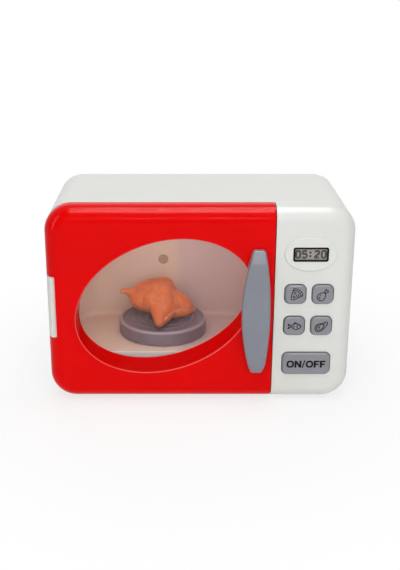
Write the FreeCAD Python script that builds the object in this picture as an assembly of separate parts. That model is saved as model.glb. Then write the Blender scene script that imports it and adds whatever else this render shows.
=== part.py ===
"""Toy microwave: white casing, red swing door, five buttons, driven turntable and toy chicken.

Millimetres, +X right, +Y to the back, +Z up. The origin lies under the middle of the object, on the surface
that it stands on. Depths are measured back from the casing's front face, and heights up from its underside.
"""
import FreeCAD, Part
import os
from math import acos, cos, pi, radians, sin, sqrt, tan

Vector = FreeCAD.Vector

# Casing
BODY_WIDTH = 230.0
BODY_HEIGHT = 153.0
BODY_DEPTH = 112.0
CORNER_RADIUS = 20.0
FRONT_ROUND = 12.0
BACK_ROUND = 1.5
WALL = 2.5
BULKHEAD_SETBACK = 2.5
FOOT_HEIGHT = 2.0
FOOT_RADIUS = 7.0
FOOT_SEAT = 0.8
FOOT_FROM_SIDE = 26.0
FOOT_FROM_FRONT = 30.0
FOOT_FROM_BACK = 18.0

# Door
DOOR_DEPTH = 17.0
DOOR_GAP = 0.5
DOOR_EDGE_ROUND = 1.0
BACK_FRAME_THICK = 2.0
PANE_THICK = 1.5
PANE_LAP = 4.0
WINDOW_FROM_LEFT = 21.76
WINDOW_FROM_DOOR_EDGE = 14.86
WINDOW_FROM_TOP = 23.67
WINDOW_FROM_BOTTOM = 22.87
WINDOW_TURN = 21.3
TUNNEL_DRAFT_SIDE = 1.44
TUNNEL_DRAFT_TOP = 0.41
TUNNEL_DRAFT_BOTTOM = 6.21
WINDOW_RIM = 2.0
WINDOW_EDGE_ROUND = 0.8

# Hinge
HINGE_FROM_LEFT = 5.0
HINGE_FROM_DOOR_BACK = 6.0
KNUCKLE_RADIUS = 7.5
KNUCKLE_LOW = 50.5
KNUCKLE_FROM_TOP = 53.8
NOTCH_GAP = 0.5
NOTCH_WIDTH = 7.0
HINGE_WEB = 4.5
PIN_RADIUS = 1.5
PIN_IN_KNUCKLE = 8.0
LUG_THICK = 6.0
LUG_REACH = 14.0

# Handle
HANDLE_PROUD = 10.5
HANDLE_FROM_DOOR_EDGE = 13.5
HANDLE_LOW = 24.0
HANDLE_FROM_TOP = 31.2
HANDLE_HALF_WIDTH = 10.6
HANDLE_END_HALF_WIDTH = 4.4
HANDLE_END_SHIFT = 1.8
HANDLE_THICK = 4.5
HANDLE_RAMP = 9.0
HANDLE_ROLL = 5.0
HANDLE_FOOT = 12.0
HANDLE_END_RISE = 3.5
HANDLE_EDGE_ROUND = 2.0
HANDLE_CORNER = 2.6

# Control panel
CONTROLS_FROM_PANEL_EDGE = 7.0
CONTROLS_FROM_RIGHT = 15.1
BUTTON_WIDTH = 16.4
BUTTON_TALL = 15.6
BUTTON_CORNER = 4.6
BUTTONS_APART = 3.9
ON_OFF_WIDTH = 37.1
ON_OFF_TALL = 18.5
BUTTON_PROUD = 2.4
BUTTON_BEVEL = 1.6
BUTTON_GAP = 0.5
BUTTON_FLANGE = 1.2
FLANGE_GAP = 0.3
STEM_RADIUS = 3.0
DOT_ABOVE_ROWS = 0.7
DOT_RADIUS = 2.0
DOT_PROUD = 0.5
DISPLAY_WIDTH = 26.0
DISPLAY_TALL = 10.9
DISPLAY_CORNER = 1.6
BEZEL_BAND = 1.3
BEZEL_THICK = 1.0
SCREEN_THICK = 0.8
SCREEN_GAP = 0.1
OVAL_BESIDE_DISPLAY = 6.4
OVAL_ABOVE_DISPLAY = 7.65
OVAL_PROUD = 1.4
OVAL_ROUND = 0.9

# Shares of the height that the controls leave free on the panel
SHARE_BELOW_ON_OFF = 0.282
SHARE_ABOVE_ON_OFF = 0.18
SHARE_BETWEEN_ROWS = 0.1245
SHARE_BELOW_DISPLAY = 0.132

# Control board
BOARD_FRONT = 9.6
BOARD_THICK = 1.6
BOARD_FROM_PANEL_WALL = 1.05
BOARD_FROM_SIDE = 5.15
BOARD_LOW = 14.0
BOARD_FROM_TOP = 21.0
BOARD_SCREW_INSET = 3.0
BOARD_SCREW_ABOVE_ROW = 6.1
STANDOFF_RADIUS = 2.8
PAD_SHEET = 0.8
PAD_DOME = 1.3
PAD_DOME_RADIUS = 4.0
PAD_MARGIN = 5.0
PAD_GAP = 0.1

# Oven
CHAMBER_FROM_LEFT = 11.0
CHAMBER_FROM_DOOR_EDGE = 9.3
CHAMBER_FROM_TOP = 22.0
CHAMBER_FROM_COVER = 5.5
DRIVE_ROOM = 2.2
CHAMBER_BACK_CORNER = 26.0
CHAMBER_ROUND = 4.0
MOUTH_ROUND = 1.0
LINER_WALL = 1.8
LINER_TAB = 2.0
LINER_TAB_WIDTH = 12.0
LINER_TAB_TALL = 9.0
LINER_TAB_INSET = 20.0
FLOOR_MARK_WIDTH = 6.5
FLOOR_MARK_LENGTH = 9.0
FLOOR_MARK_DEEP = 0.6
LENS_RADIUS = 4.25
LENS_PROUD = 0.4
LENS_FLANGE = 1.5
LENS_FLANGE_THICK = 0.8
LAMP_BOARD_THICK = 1.0
LED_RADIUS = 1.8

# Turntable and its drive
TURNTABLE_FROM_MOUTH = 8.0
TURNTABLE_FROM_BACK = 1.5
TURNTABLE_THICK = 11.0
TURNTABLE_LIFT = 1.0
TURNTABLE_RIM = 4.0
TURNTABLE_DISH = 0.8
TURNTABLE_SKIN = 2.5
TURNTABLE_EDGE_ROUND = 1.8
RING_COUNT = 4
RING_FROM_RIM = 7.5
RING_HALF = 0.5
RING_PROUD = 0.6
HUB_RADIUS = 6.0
KEY_ACROSS_FLATS = 5.0
KEY_LENGTH = 7.0
KEY_GAP = 0.1
SPINDLE_RADIUS = 3.0
BUSH_WALL = 2.0
BUSH_FLANGE = 2.0
BUSH_FLANGE_THICK = 1.2
MODULE = 0.8
PRESSURE_ANGLE = 25.0
ADDENDUM = 0.8
DEDENDUM = 1.1
BACKLASH = 0.16
FLANK_STEPS = 4
TURN_TEETH = 48
IDLER_SMALL_TEETH = 12
IDLER_LARGE_TEETH = 40
PINION_TEETH = 10
GEAR_THICK = 3.6
GEAR_GAP = 0.6
GEAR_HUB_RADIUS = 5.0
MOTOR_RADIUS = 12.2
MOTOR_TALL = 12.4
MOTOR_FLOOR_GAP = 0.5
MOTOR_BOSS_RADIUS = 3.0
MOTOR_SHAFT_RADIUS = 1.0
MOTOR_SHAFT_IN = 6.0
TERMINAL_WIDTH = 6.0
TERMINAL_TALL = 5.0
TERMINAL_PROUD = 2.0
GEAR_PLATE_THICK = 2.0
GEAR_PLATE_MARGIN = 17.0
GEAR_PLATE_HALF_DEEP = 21.0
PILLAR_INSET = 4.5
PILLAR_RADIUS = 3.5

# Toy chicken: each form's two ends, from the middle of the turntable's top, and the radius at each end,
# all as shares of the turntable's radius
CHICKEN_FORMS = {
    "body": ((-0.25, -0.22, 0.35), (0.14, 0.44, 0.41), 0.35, 0.38),
    "breast": ((-0.14, 0.26, 0.46), (0.12, 0.52, 0.53), 0.28, 0.25),
    "left_thigh": ((-0.62, 0.12, 0.37), (-0.28, -0.02, 0.3), 0.25, 0.3),
    "left_shank": ((-0.84, 0.11, 0.53), (-0.62, 0.1, 0.43), 0.08, 0.15),
    "left_knob": ((-0.935, 0.1, 0.585), (-0.84, 0.11, 0.53), 0.065, 0.055),
    "right_thigh": ((0.22, 0.12, 0.32), (0.5, 0.04, 0.23), 0.27, 0.22),
    "wing": ((0.32, 0.06, 0.17), (0.7, 0.14, 0.11), 0.14, 0.09),
    "tail_flap": ((-0.2, -0.3, 0.29), (-0.07, -0.76, 0.15), 0.22, 0.13),
}
CHICKEN_GAP = 0.1

# Back
COVER_THICK = 2.5
COVER_SETBACK = 1.0
COVER_GAP = 0.3
COVER_BOSS_RADIUS = 5.5
COVER_BOSS_LENGTH = 24.0
COVER_BOSS_FROM_CORNER = 4.5
SPEAKER_RADIUS = 18.0
SPEAKER_FROM_RIGHT = 35.5
SPEAKER_FLANGE = 2.2
SPEAKER_BASKET = 4.3
SPEAKER_MAGNET_RADIUS = 9.0
SPEAKER_MAGNET = 4.0
SPEAKER_RIM = 4.0
CONE_THROAT = 6.0
CONE_DEEP = 5.0
CONE_SKIN = 0.6
CONE_GAP = 0.1
SLOT_WIDTH = 2.2
SLOT_FROM_RIM = 1.5
SLOT_COUNT = 6

# Batteries
CELL_RADIUS = 7.25
CELL_LENGTH = 49.5
CELL_NUB_RADIUS = 2.75
CELL_NUB = 1.0
CELL_COUNT = 3
CELL_PITCH = 15.0
CELL_GAP = 0.25
CONTACT_ROOM = 1.8
CONTACT_THICK = 0.4
CONTACT_WIDTH = 8.0
CONTACT_LEAF = 1.0
BATTERY_FROM_WALL = 3.25
BATTERY_ABOVE_BOSS = 2.7
BATTERY_WALL = 1.5
BATTERY_TAB = 8.0
BATTERY_TAB_THICK = 2.0
BATTERY_TAB_SPREAD = 14.0
LID_LAP = 2.0
LID_THICK = 1.2
LID_GAP = 0.3
LID_EAR = 10.0

# Fasteners
SCREW_RADIUS = 1.2
SCREW_LENGTH = 8.0
SHORT_SCREW_LENGTH = 4.0
HEAD_RADIUS = 2.5
HEAD_TALL = 1.2
RECESS_LENGTH = 2.8
RECESS_WIDTH = 0.7
RECESS_DEEP = 0.7
PILOT_GAP = 0.05
RUNNING_GAP = 0.06
HOLE_GAP = 0.2
HEAD_GAP = 0.3

# Latch
LATCH_ABOVE_HANDLE_MIDDLE = 6.0
LATCH_TALL = 8.0
LATCH_THICK = 2.4
LATCH_FROM_DOOR_EDGE = 5.6
LATCH_REACH = 5.0
LATCH_GAP = 0.9
CATCH_THICK = 1.2
CATCH_BASE = 7.0
CATCH_LEAF = 5.5

# Leads
LEAD_RADIUS = 0.7
LEAD_BEND = 0.45

# Places worked out from the sizes above
TINY = 0.001
LEFT = -BODY_WIDTH / 2
RIGHT = BODY_WIDTH / 2
FRONT_Y = (HANDLE_PROUD - BODY_DEPTH) / 2
BASE_Z = FOOT_HEIGHT
BUTTON_SPREAD = BUTTON_WIDTH + BUTTONS_APART
CONTROLS_WIDTH = max(ON_OFF_WIDTH, BUTTON_SPREAD + BUTTON_WIDTH)
CONTROL_X = RIGHT - CONTROLS_FROM_RIGHT - CONTROLS_WIDTH / 2
PANEL_LEFT = CONTROL_X - CONTROLS_WIDTH / 2 - CONTROLS_FROM_PANEL_EDGE
DOOR_RIGHT = PANEL_LEFT - DOOR_GAP
CASING_FRONT = DOOR_DEPTH + DOOR_GAP
BULKHEAD_FRONT = CASING_FRONT + BULKHEAD_SETBACK
BULKHEAD_BACK = BULKHEAD_FRONT + WALL
COVER_BACK = BODY_DEPTH - COVER_SETBACK
COVER_FRONT = COVER_BACK - COVER_THICK
LID_FRONT = COVER_BACK - LID_THICK
WINDOW_LEFT = LEFT + WINDOW_FROM_LEFT
WINDOW_RIGHT = DOOR_RIGHT - WINDOW_FROM_DOOR_EDGE
WINDOW_HIGH = BODY_HEIGHT - WINDOW_FROM_TOP
FRAME_FRONT = DOOR_DEPTH - BACK_FRAME_THICK
PANE_FRONT = FRAME_FRONT - PANE_THICK
HINGE_X = LEFT + HINGE_FROM_LEFT
HINGE_DEPTH = DOOR_DEPTH - HINGE_FROM_DOOR_BACK
KNUCKLE_HIGH = BODY_HEIGHT - KNUCKLE_FROM_TOP
NOTCH_LOW = KNUCKLE_LOW - NOTCH_GAP
NOTCH_HIGH = KNUCKLE_HIGH + NOTCH_GAP
NOTCH_RADIUS = KNUCKLE_RADIUS + NOTCH_GAP
DOOR_HEEL = sqrt(HINGE_FROM_LEFT ** 2 + HINGE_FROM_DOOR_BACK ** 2)
HANDLE_X = DOOR_RIGHT - HANDLE_FROM_DOOR_EDGE
HANDLE_END_X = HANDLE_X + HANDLE_END_SHIFT
HANDLE_HIGH = BODY_HEIGHT - HANDLE_FROM_TOP
LATCH_X = DOOR_RIGHT - LATCH_FROM_DOOR_EDGE
LATCH_HEIGHT = (HANDLE_LOW + HANDLE_HIGH) / 2 + LATCH_ABOVE_HANDLE_MIDDLE

# Control panel places
OVAL_HALF_WIDTH = DISPLAY_WIDTH / 2 + OVAL_BESIDE_DISPLAY
OVAL_HALF_TALL = DISPLAY_TALL / 2 + OVAL_ABOVE_DISPLAY
PANEL_SPARE = BODY_HEIGHT - ON_OFF_TALL - 2 * BUTTON_TALL - 2 * OVAL_HALF_TALL
ON_OFF_HEIGHT = SHARE_BELOW_ON_OFF * PANEL_SPARE + ON_OFF_TALL / 2
ON_OFF_HIGH = ON_OFF_HEIGHT + ON_OFF_TALL / 2
LOWER_ROW_LOW = ON_OFF_HIGH + SHARE_ABOVE_ON_OFF * PANEL_SPARE
LOWER_ROW_HEIGHT = LOWER_ROW_LOW + BUTTON_TALL / 2
UPPER_ROW_HEIGHT = LOWER_ROW_HEIGHT + BUTTON_TALL + SHARE_BETWEEN_ROWS * PANEL_SPARE
UPPER_ROW_HIGH = UPPER_ROW_HEIGHT + BUTTON_TALL / 2
DISPLAY_HEIGHT = UPPER_ROW_HIGH + SHARE_BELOW_DISPLAY * PANEL_SPARE + OVAL_HALF_TALL
DOT_HEIGHT = (LOWER_ROW_HEIGHT + UPPER_ROW_HEIGHT) / 2 + DOT_ABOVE_ROWS
BOARD_LEFT = PANEL_LEFT + WALL + BOARD_FROM_PANEL_WALL
BOARD_RIGHT = RIGHT - WALL - BOARD_FROM_SIDE
BOARD_HIGH = BODY_HEIGHT - BOARD_FROM_TOP
BOARD_SCREW_LOW = (ON_OFF_HIGH + LOWER_ROW_LOW) / 2
BOARD_SCREW_HIGH = UPPER_ROW_HIGH + BOARD_SCREW_ABOVE_ROW

# Oven and drive places
GEAR_PLATE_LOW = WALL + MOTOR_FLOOR_GAP + MOTOR_TALL
GEAR_PLATE_HIGH = GEAR_PLATE_LOW + GEAR_PLATE_THICK
LARGE_LOW = GEAR_PLATE_HIGH + GEAR_GAP
LARGE_HIGH = LARGE_LOW + GEAR_THICK
TURN_GEAR_LOW = LARGE_HIGH + GEAR_GAP
TURN_GEAR_HIGH = TURN_GEAR_LOW + GEAR_THICK
AXLE_HIGH = TURN_GEAR_HIGH + 2 * GEAR_GAP
LINER_UNDER = AXLE_HIGH + DRIVE_ROOM
CHAMBER_LEFT = LEFT + CHAMBER_FROM_LEFT
CHAMBER_RIGHT = DOOR_RIGHT - CHAMBER_FROM_DOOR_EDGE
CHAMBER_FLOOR = LINER_UNDER + LINER_WALL
CHAMBER_CEILING = BODY_HEIGHT - CHAMBER_FROM_TOP
CHAMBER_BACK = COVER_FRONT - CHAMBER_FROM_COVER
OVEN_X = (CHAMBER_LEFT + CHAMBER_RIGHT) / 2
LENS_HEIGHT = (CHAMBER_FLOOR + CHAMBER_CEILING) / 2
TURNTABLE_RADIUS = (CHAMBER_BACK - TURNTABLE_FROM_BACK - BULKHEAD_BACK - TURNTABLE_FROM_MOUTH) / 2
TURN_DEPTH = BULKHEAD_BACK + TURNTABLE_FROM_MOUTH + TURNTABLE_RADIUS
TURNTABLE_LOW = CHAMBER_FLOOR + TURNTABLE_LIFT
TURNTABLE_HIGH = TURNTABLE_LOW + TURNTABLE_THICK
DISH_HEIGHT = TURNTABLE_HIGH - TURNTABLE_DISH
RING_PITCH = (TURNTABLE_RADIUS - TURNTABLE_RIM - RING_FROM_RIM) / RING_COUNT
BUSH_RADIUS = SPINDLE_RADIUS + BUSH_WALL
IDLER_X = OVEN_X + MODULE * (TURN_TEETH + IDLER_SMALL_TEETH) / 2
MOTOR_X = IDLER_X + MODULE * (IDLER_LARGE_TEETH + PINION_TEETH) / 2

# Back places
COVER_SCREW_REACH = (CORNER_RADIUS - WALL - COVER_BOSS_FROM_CORNER) / sqrt(2)
COVER_SCREW_X = RIGHT - CORNER_RADIUS + COVER_SCREW_REACH
COVER_SCREW_LOW = CORNER_RADIUS - COVER_SCREW_REACH
CELL_ROOM_WIDTH = CELL_PITCH * (CELL_COUNT - 1) + 2 * (CELL_RADIUS + CELL_GAP)
CELL_ROOM_TALL = CELL_LENGTH + CELL_NUB + 2 * CONTACT_ROOM
BATTERY_X = RIGHT - WALL - BATTERY_FROM_WALL - BATTERY_WALL - CELL_ROOM_WIDTH / 2
BATTERY_LOW = COVER_SCREW_LOW + COVER_BOSS_RADIUS + BATTERY_ABOVE_BOSS
CELL_ROOM_LOW = BATTERY_LOW + BATTERY_WALL
CELL_ROOM_HIGH = CELL_ROOM_LOW + CELL_ROOM_TALL
CELL_DEPTH = COVER_FRONT - CELL_RADIUS - CELL_GAP
CELL_ROOM_FRONT = CELL_DEPTH - CELL_RADIUS - CELL_GAP
LID_SCREW_HEIGHT = CELL_ROOM_HIGH + LID_LAP + LID_EAR / 2
SPEAKER_X = RIGHT - SPEAKER_FROM_RIGHT
SPEAKER_HEIGHT = (LID_SCREW_HEIGHT + STANDOFF_RADIUS + BODY_HEIGHT - WALL) / 2
CONE_RADIUS = SPEAKER_RADIUS - SPEAKER_RIM
SLOT_PITCH = 2 * (CONE_RADIUS - SLOT_FROM_RIM) / (SLOT_COUNT - 1)

BUTTON_PLACES = {
    "pizza_button": (CONTROL_X - BUTTON_SPREAD / 2, UPPER_ROW_HEIGHT, BUTTON_WIDTH, BUTTON_TALL),
    "drumstick_button": (CONTROL_X + BUTTON_SPREAD / 2, UPPER_ROW_HEIGHT, BUTTON_WIDTH, BUTTON_TALL),
    "fish_button": (CONTROL_X - BUTTON_SPREAD / 2, LOWER_ROW_HEIGHT, BUTTON_WIDTH, BUTTON_TALL),
    "steak_button": (CONTROL_X + BUTTON_SPREAD / 2, LOWER_ROW_HEIGHT, BUTTON_WIDTH, BUTTON_TALL),
    "on_off_button": (CONTROL_X, ON_OFF_HEIGHT, ON_OFF_WIDTH, ON_OFF_TALL),
}


# Shape helpers

def point(x, depth, height):
    return Vector(x, FRONT_Y + depth, BASE_Z + height)


def block(x0, x1, depth0, depth1, height0, height1):
    return Part.makeBox(x1 - x0, depth1 - depth0, height1 - height0, point(x0, depth0, height0))


def rod_back(x, height, radius, depth0, depth1):
    """A round rod along the depth."""
    return Part.makeCylinder(radius, depth1 - depth0, point(x, depth0, height), Vector(0, 1, 0))


def rod_up(x, depth, radius, height0, height1):
    """A round rod along the height."""
    return Part.makeCylinder(radius, height1 - height0, point(x, depth, height0), Vector(0, 0, 1))


def cone_back(x, height, radius0, radius1, depth0, depth1):
    return Part.makeCone(radius0, radius1, depth1 - depth0, point(x, depth0, height), Vector(0, 1, 0))


def prism_back(outline, depth0, depth1):
    """Push a flat outline drawn at depth0 back to depth1."""
    return Part.Face(outline).extrude(Vector(0, depth1 - depth0, 0))


def rounded_outline(x0, x1, height0, height1, radius, depth):
    """A rectangle with round corners, standing at one depth."""
    corners = [(x1 - radius, height0 + radius, -90), (x1 - radius, height1 - radius, 0),
               (x0 + radius, height1 - radius, 90), (x0 + radius, height0 + radius, 180)]
    arcs = []
    for x, height, start in corners:
        turns = [radians(start + step) for step in (0, 45, 90)]
        arcs.append([point(x + radius * cos(t), depth, height + radius * sin(t)) for t in turns])
    edges = []
    for arc, following in zip(arcs, arcs[1:] + arcs[:1]):
        edges.append(Part.Arc(*arc).toShape())
        edges.append(Part.makeLine(arc[2], following[0]))
    return Part.Wire(edges)


def rounded_slab(x0, x1, height0, height1, radius, depth0, depth1):
    return prism_back(rounded_outline(x0, x1, height0, height1, radius, depth0), depth0, depth1)


def centred_slab(x, height, wide, tall, radius, depth0, depth1):
    return rounded_slab(x - wide / 2, x + wide / 2, height - tall / 2, height + tall / 2, radius,
                        depth0, depth1)


def oval_outline(x, height, half_along, half_across, turn, depth):
    """An ellipse standing at one depth, its right end turned up by turn degrees."""
    along = Vector(cos(radians(turn)), 0, sin(radians(turn))) * half_along
    across = Vector(-sin(radians(turn)), 0, cos(radians(turn))) * half_across
    middle = point(x, depth, height)
    if half_across > half_along:
        along, across = across, along * -1
    return Part.Wire([Part.Ellipse(middle + along, middle + across, middle).toShape()])


def oval_slab(x, height, half_along, half_across, turn, depth0, depth1):
    return prism_back(oval_outline(x, height, half_along, half_across, turn, depth0), depth0, depth1)


def touching_oval(x0, x1, height0, height1, turn):
    """The middle and half axes of the turned ellipse that touches all four sides of a rectangle."""
    wide = ((x1 - x0) / 2) ** 2
    tall = ((height1 - height0) / 2) ** 2
    level = cos(radians(turn)) ** 2
    steep = sin(radians(turn)) ** 2
    half_along = sqrt((wide * level - tall * steep) / (level - steep))
    half_across = sqrt((tall * level - wide * steep) / (level - steep))
    return (x0 + x1) / 2, (height0 + height1) / 2, half_along, half_across


def flat_prism(spots, x0, x1):
    """A solid between x0 and x1 whose side outline runs through (depth, height) spots."""
    corners = [point(x0, depth, height) for depth, height in spots]
    return Part.Face(Part.makePolygon(corners + corners[:1])).extrude(Vector(x1 - x0, 0, 0))


def edges_at_depth(shape, depth):
    """The edges that lie wholly at one depth."""
    y = FRONT_Y + depth
    return [edge for edge in shape.Edges
            if abs(edge.BoundBox.YMin - y) < TINY and abs(edge.BoundBox.YMax - y) < TINY]


def edges_at_height(shape, height):
    """The edges that lie wholly at one height."""
    z = BASE_Z + height
    return [edge for edge in shape.Edges
            if abs(edge.BoundBox.ZMin - z) < TINY and abs(edge.BoundBox.ZMax - z) < TINY]


def screw(seat, direction, length):
    """A cross-head screw whose head stands on seat and whose shank runs along direction."""
    away = direction * -1
    shank = Part.makeCylinder(SCREW_RADIUS, length, seat, direction)
    head = Part.makeCylinder(HEAD_RADIUS, HEAD_TALL, seat, away)
    top = seat + away * HEAD_TALL
    rim = [edge for edge in head.Edges if edge.CenterOfMass.isEqual(top, TINY)]
    head = head.makeFillet(HEAD_TALL / 2, rim)
    side = Vector(1, 0, 0)
    other = direction.cross(side)
    floor = top - away * RECESS_DEEP
    for along, across in ((side, other), (other, side)):
        corner = floor - along * RECESS_LENGTH / 2 - across * RECESS_WIDTH / 2
        length_way = along * RECESS_LENGTH
        width_way = across * RECESS_WIDTH
        outline = [corner, corner + length_way, corner + length_way + width_way, corner + width_way, corner]
        head = head.cut(Part.Face(Part.makePolygon(outline)).extrude(away * HEAD_TALL))
    return shank.fuse(head).removeSplitter()


def lead(spots):
    """A wire through the spots: straight runs joined by tangent arcs as large as the runs allow."""
    spots = [point(*spot) for spot in spots]
    runs = [(b - a).Length for a, b in zip(spots, spots[1:])]
    edges = []
    start = spots[0]
    for before, corner, after, run_in, run_out in zip(spots, spots[1:], spots[2:], runs, runs[1:]):
        into = (corner - before).normalize()
        out = (after - corner).normalize()
        cut = LEAD_BEND * min(run_in, run_out)
        first = corner - into * cut
        last = corner + out * cut
        half = acos(max(-1, min(1, into.dot(out)))) / 2
        radius = cut / tan(half)
        centre = corner + (out - into).normalize() * (radius / cos(half))
        middle = centre + (corner - centre).normalize() * radius
        edges += [Part.LineSegment(start, first).toShape(), Part.Arc(first, middle, last).toShape()]
        start = last
    edges.append(Part.LineSegment(start, spots[-1]).toShape())
    path = Part.Wire(edges)
    section = Part.Wire([Part.makeCircle(LEAD_RADIUS, spots[0], spots[1] - spots[0])])
    tube = path.makePipeShell([section], True, False)
    print("lead", round(path.Length, 1), "mm long, volume ratio",
          round(tube.Volume / (pi * LEAD_RADIUS ** 2 * path.Length), 4))
    return tube


def tapered_form(start, end, start_radius, end_radius):
    """Two balls, at (x, depth, height) ends, and the cone that touches both."""
    start, end = point(*start), point(*end)
    axis = end - start
    length = axis.Length
    axis.normalize()
    lean = (start_radius - end_radius) / length
    lift = sqrt(1 - lean ** 2)
    cone = Part.makeCone(start_radius * lift, end_radius * lift, length + (end_radius - start_radius) * lean,
                         start + axis * start_radius * lean, axis)
    balls = []
    for middle, radius in ((start, start_radius), (end, end_radius)):
        ball = Part.makeSphere(radius)
        ball.Placement = FreeCAD.Placement(middle, FreeCAD.Rotation(Vector(0, 0, 1), axis))
        balls.append(ball)
    return cone.fuse(balls).removeSplitter()


# Casing

def body_form(inset, back):
    """The rounded outer form, drawn in by inset, from its front face to a depth."""
    form = rounded_slab(LEFT + inset, RIGHT - inset, inset, BODY_HEIGHT - inset,
                        CORNER_RADIUS - inset, inset, back)
    return form.makeFillet(FRONT_ROUND - inset, edges_at_depth(form, inset))


def casing_shell():
    """The white shell: open at the back, set back behind the door, closed by the bulkhead and the panel."""
    outer = body_form(0, BODY_DEPTH)
    outer = outer.makeFillet(BACK_ROUND, edges_at_depth(outer, BODY_DEPTH))
    inner = body_form(WALL, BODY_DEPTH + WALL)
    door_space = block(LEFT - WALL, PANEL_LEFT, -WALL, CASING_FRONT, -WALL, BODY_HEIGHT + WALL)
    recess = inner.common(block(LEFT, PANEL_LEFT, CASING_FRONT, BULKHEAD_FRONT, 0, BODY_HEIGHT))
    oven_room = block(LEFT, RIGHT, BULKHEAD_BACK, BODY_DEPTH + WALL, 0, BODY_HEIGHT)
    panel_room = block(PANEL_LEFT + WALL, RIGHT, 0, BULKHEAD_BACK, 0, BODY_HEIGHT)
    cove = rod_up(HINGE_X, HINGE_DEPTH, DOOR_HEEL + NOTCH_GAP, -WALL, BODY_HEIGHT + WALL)
    return outer.cut([door_space, recess, inner.common(oven_room.fuse(panel_room)), cove])


def hinge_knuckle():
    """The hinge barrel that shows in the door's left edge, with its web back to the bulkhead."""
    barrel = rod_up(HINGE_X, HINGE_DEPTH, KNUCKLE_RADIUS, KNUCKLE_LOW, KNUCKLE_HIGH)
    web = block(LEFT, HINGE_X + HINGE_WEB, HINGE_DEPTH, BULKHEAD_BACK, KNUCKLE_LOW, KNUCKLE_HIGH)
    return barrel.fuse(web).common(body_form(0, BODY_DEPTH))


def pin_spans():
    """The lower and upper hinge pins: the heights that each runs between."""
    lower = (NOTCH_LOW - LUG_THICK, KNUCKLE_LOW + PIN_IN_KNUCKLE)
    upper = (KNUCKLE_HIGH - PIN_IN_KNUCKLE, NOTCH_HIGH + LUG_THICK)
    return [lower, upper]


def cover_screw_places():
    """The rear cover's four screws, set in from the rounded corners."""
    return [(x, height) for x in (-COVER_SCREW_X, COVER_SCREW_X)
            for height in (COVER_SCREW_LOW, BODY_HEIGHT - COVER_SCREW_LOW)]


def board_screw_places():
    return [(x, height) for x in (BOARD_LEFT + BOARD_SCREW_INSET, BOARD_RIGHT - BOARD_SCREW_INSET)
            for height in (BOARD_SCREW_LOW, BOARD_SCREW_HIGH)]


def gear_plate_span():
    """The gear plate's left, right, front and back edges."""
    return (OVEN_X - GEAR_PLATE_MARGIN, MOTOR_X + GEAR_PLATE_MARGIN,
            TURN_DEPTH - GEAR_PLATE_HALF_DEEP, TURN_DEPTH + GEAR_PLATE_HALF_DEEP)


def pillar_places():
    x0, x1, depth0, depth1 = gear_plate_span()
    return [(x, depth) for x in (x0 + PILLAR_INSET, x1 - PILLAR_INSET)
            for depth in (depth0 + PILLAR_INSET, depth1 - PILLAR_INSET)]


def liner_screw_places():
    reach = LINER_WALL + LINER_TAB_TALL / 2
    return [(x, height) for x in (CHAMBER_LEFT + LINER_TAB_INSET, CHAMBER_RIGHT - LINER_TAB_INSET)
            for height in (CHAMBER_FLOOR - reach, CHAMBER_CEILING + reach)]


def foot_places():
    return [(x, depth) for x in (LEFT + FOOT_FROM_SIDE, RIGHT - FOOT_FROM_SIDE)
            for depth in (FOOT_FROM_FRONT, BODY_DEPTH - FOOT_FROM_BACK)]


def casing_bosses():
    """Bosses inside the shell that the rear cover, the control board and the gear plate are screwed to."""
    into_wall = WALL / 2
    bosses = [rod_back(x, height, COVER_BOSS_RADIUS, COVER_FRONT - COVER_BOSS_LENGTH, COVER_FRONT)
              for x, height in cover_screw_places()]
    bosses += [rod_back(x, height, STANDOFF_RADIUS, WALL - into_wall, BOARD_FRONT)
               for x, height in board_screw_places()]
    bosses += [rod_up(x, depth, PILLAR_RADIUS, WALL - into_wall, GEAR_PLATE_LOW)
               for x, depth in pillar_places()]
    return bosses


def casing_pilot_holes():
    """The holes that the casing's screws bite in."""
    radius = SCREW_RADIUS + PILOT_GAP
    holes = [rod_back(x, height, radius, COVER_FRONT - SCREW_LENGTH, COVER_FRONT + TINY)
             for x, height in cover_screw_places()]
    holes += [rod_back(x, height, radius, BOARD_FRONT - SHORT_SCREW_LENGTH, BOARD_FRONT + TINY)
              for x, height in board_screw_places()]
    holes += [rod_up(x, depth, radius, GEAR_PLATE_LOW - SCREW_LENGTH, GEAR_PLATE_LOW + TINY)
              for x, depth in pillar_places()]
    bite = SHORT_SCREW_LENGTH - LINER_TAB
    holes += [rod_back(x, height, radius, BULKHEAD_BACK - bite, BULKHEAD_BACK + TINY)
              for x, height in liner_screw_places()]
    return holes


def casing_openings():
    """The oven mouth, the button holes, the display pocket, the latch slot and the foot seats."""
    through = 2 * WALL
    openings = [rounded_slab(CHAMBER_LEFT, CHAMBER_RIGHT, CHAMBER_FLOOR, CHAMBER_CEILING, MOUTH_ROUND,
                             BULKHEAD_FRONT - WALL, BULKHEAD_BACK + WALL)]
    for x, height, wide, tall in BUTTON_PLACES.values():
        openings.append(centred_slab(x, height, wide, tall, BUTTON_CORNER, -through, through))
    openings.append(centred_slab(CONTROL_X, DISPLAY_HEIGHT, DISPLAY_WIDTH + 2 * SCREEN_GAP,
                                 DISPLAY_TALL + 2 * SCREEN_GAP, DISPLAY_CORNER,
                                 -OVAL_PROUD - through, screen_back()))
    openings.append(block(LATCH_X - LATCH_GAP, LATCH_X + LATCH_THICK + LATCH_GAP, BULKHEAD_FRONT - WALL,
                          BULKHEAD_BACK + WALL, LATCH_HEIGHT - LATCH_TALL / 2 - LATCH_GAP,
                          LATCH_HEIGHT + LATCH_TALL / 2 + LATCH_GAP))
    openings += [rod_up(x, depth, FOOT_RADIUS, -WALL, FOOT_SEAT) for x, depth in foot_places()]
    return openings


def screen_back():
    """The depth of the display pocket's floor, with the bezel flush on the raised oval."""
    return -OVAL_PROUD + BEZEL_THICK + SCREEN_THICK


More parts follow.
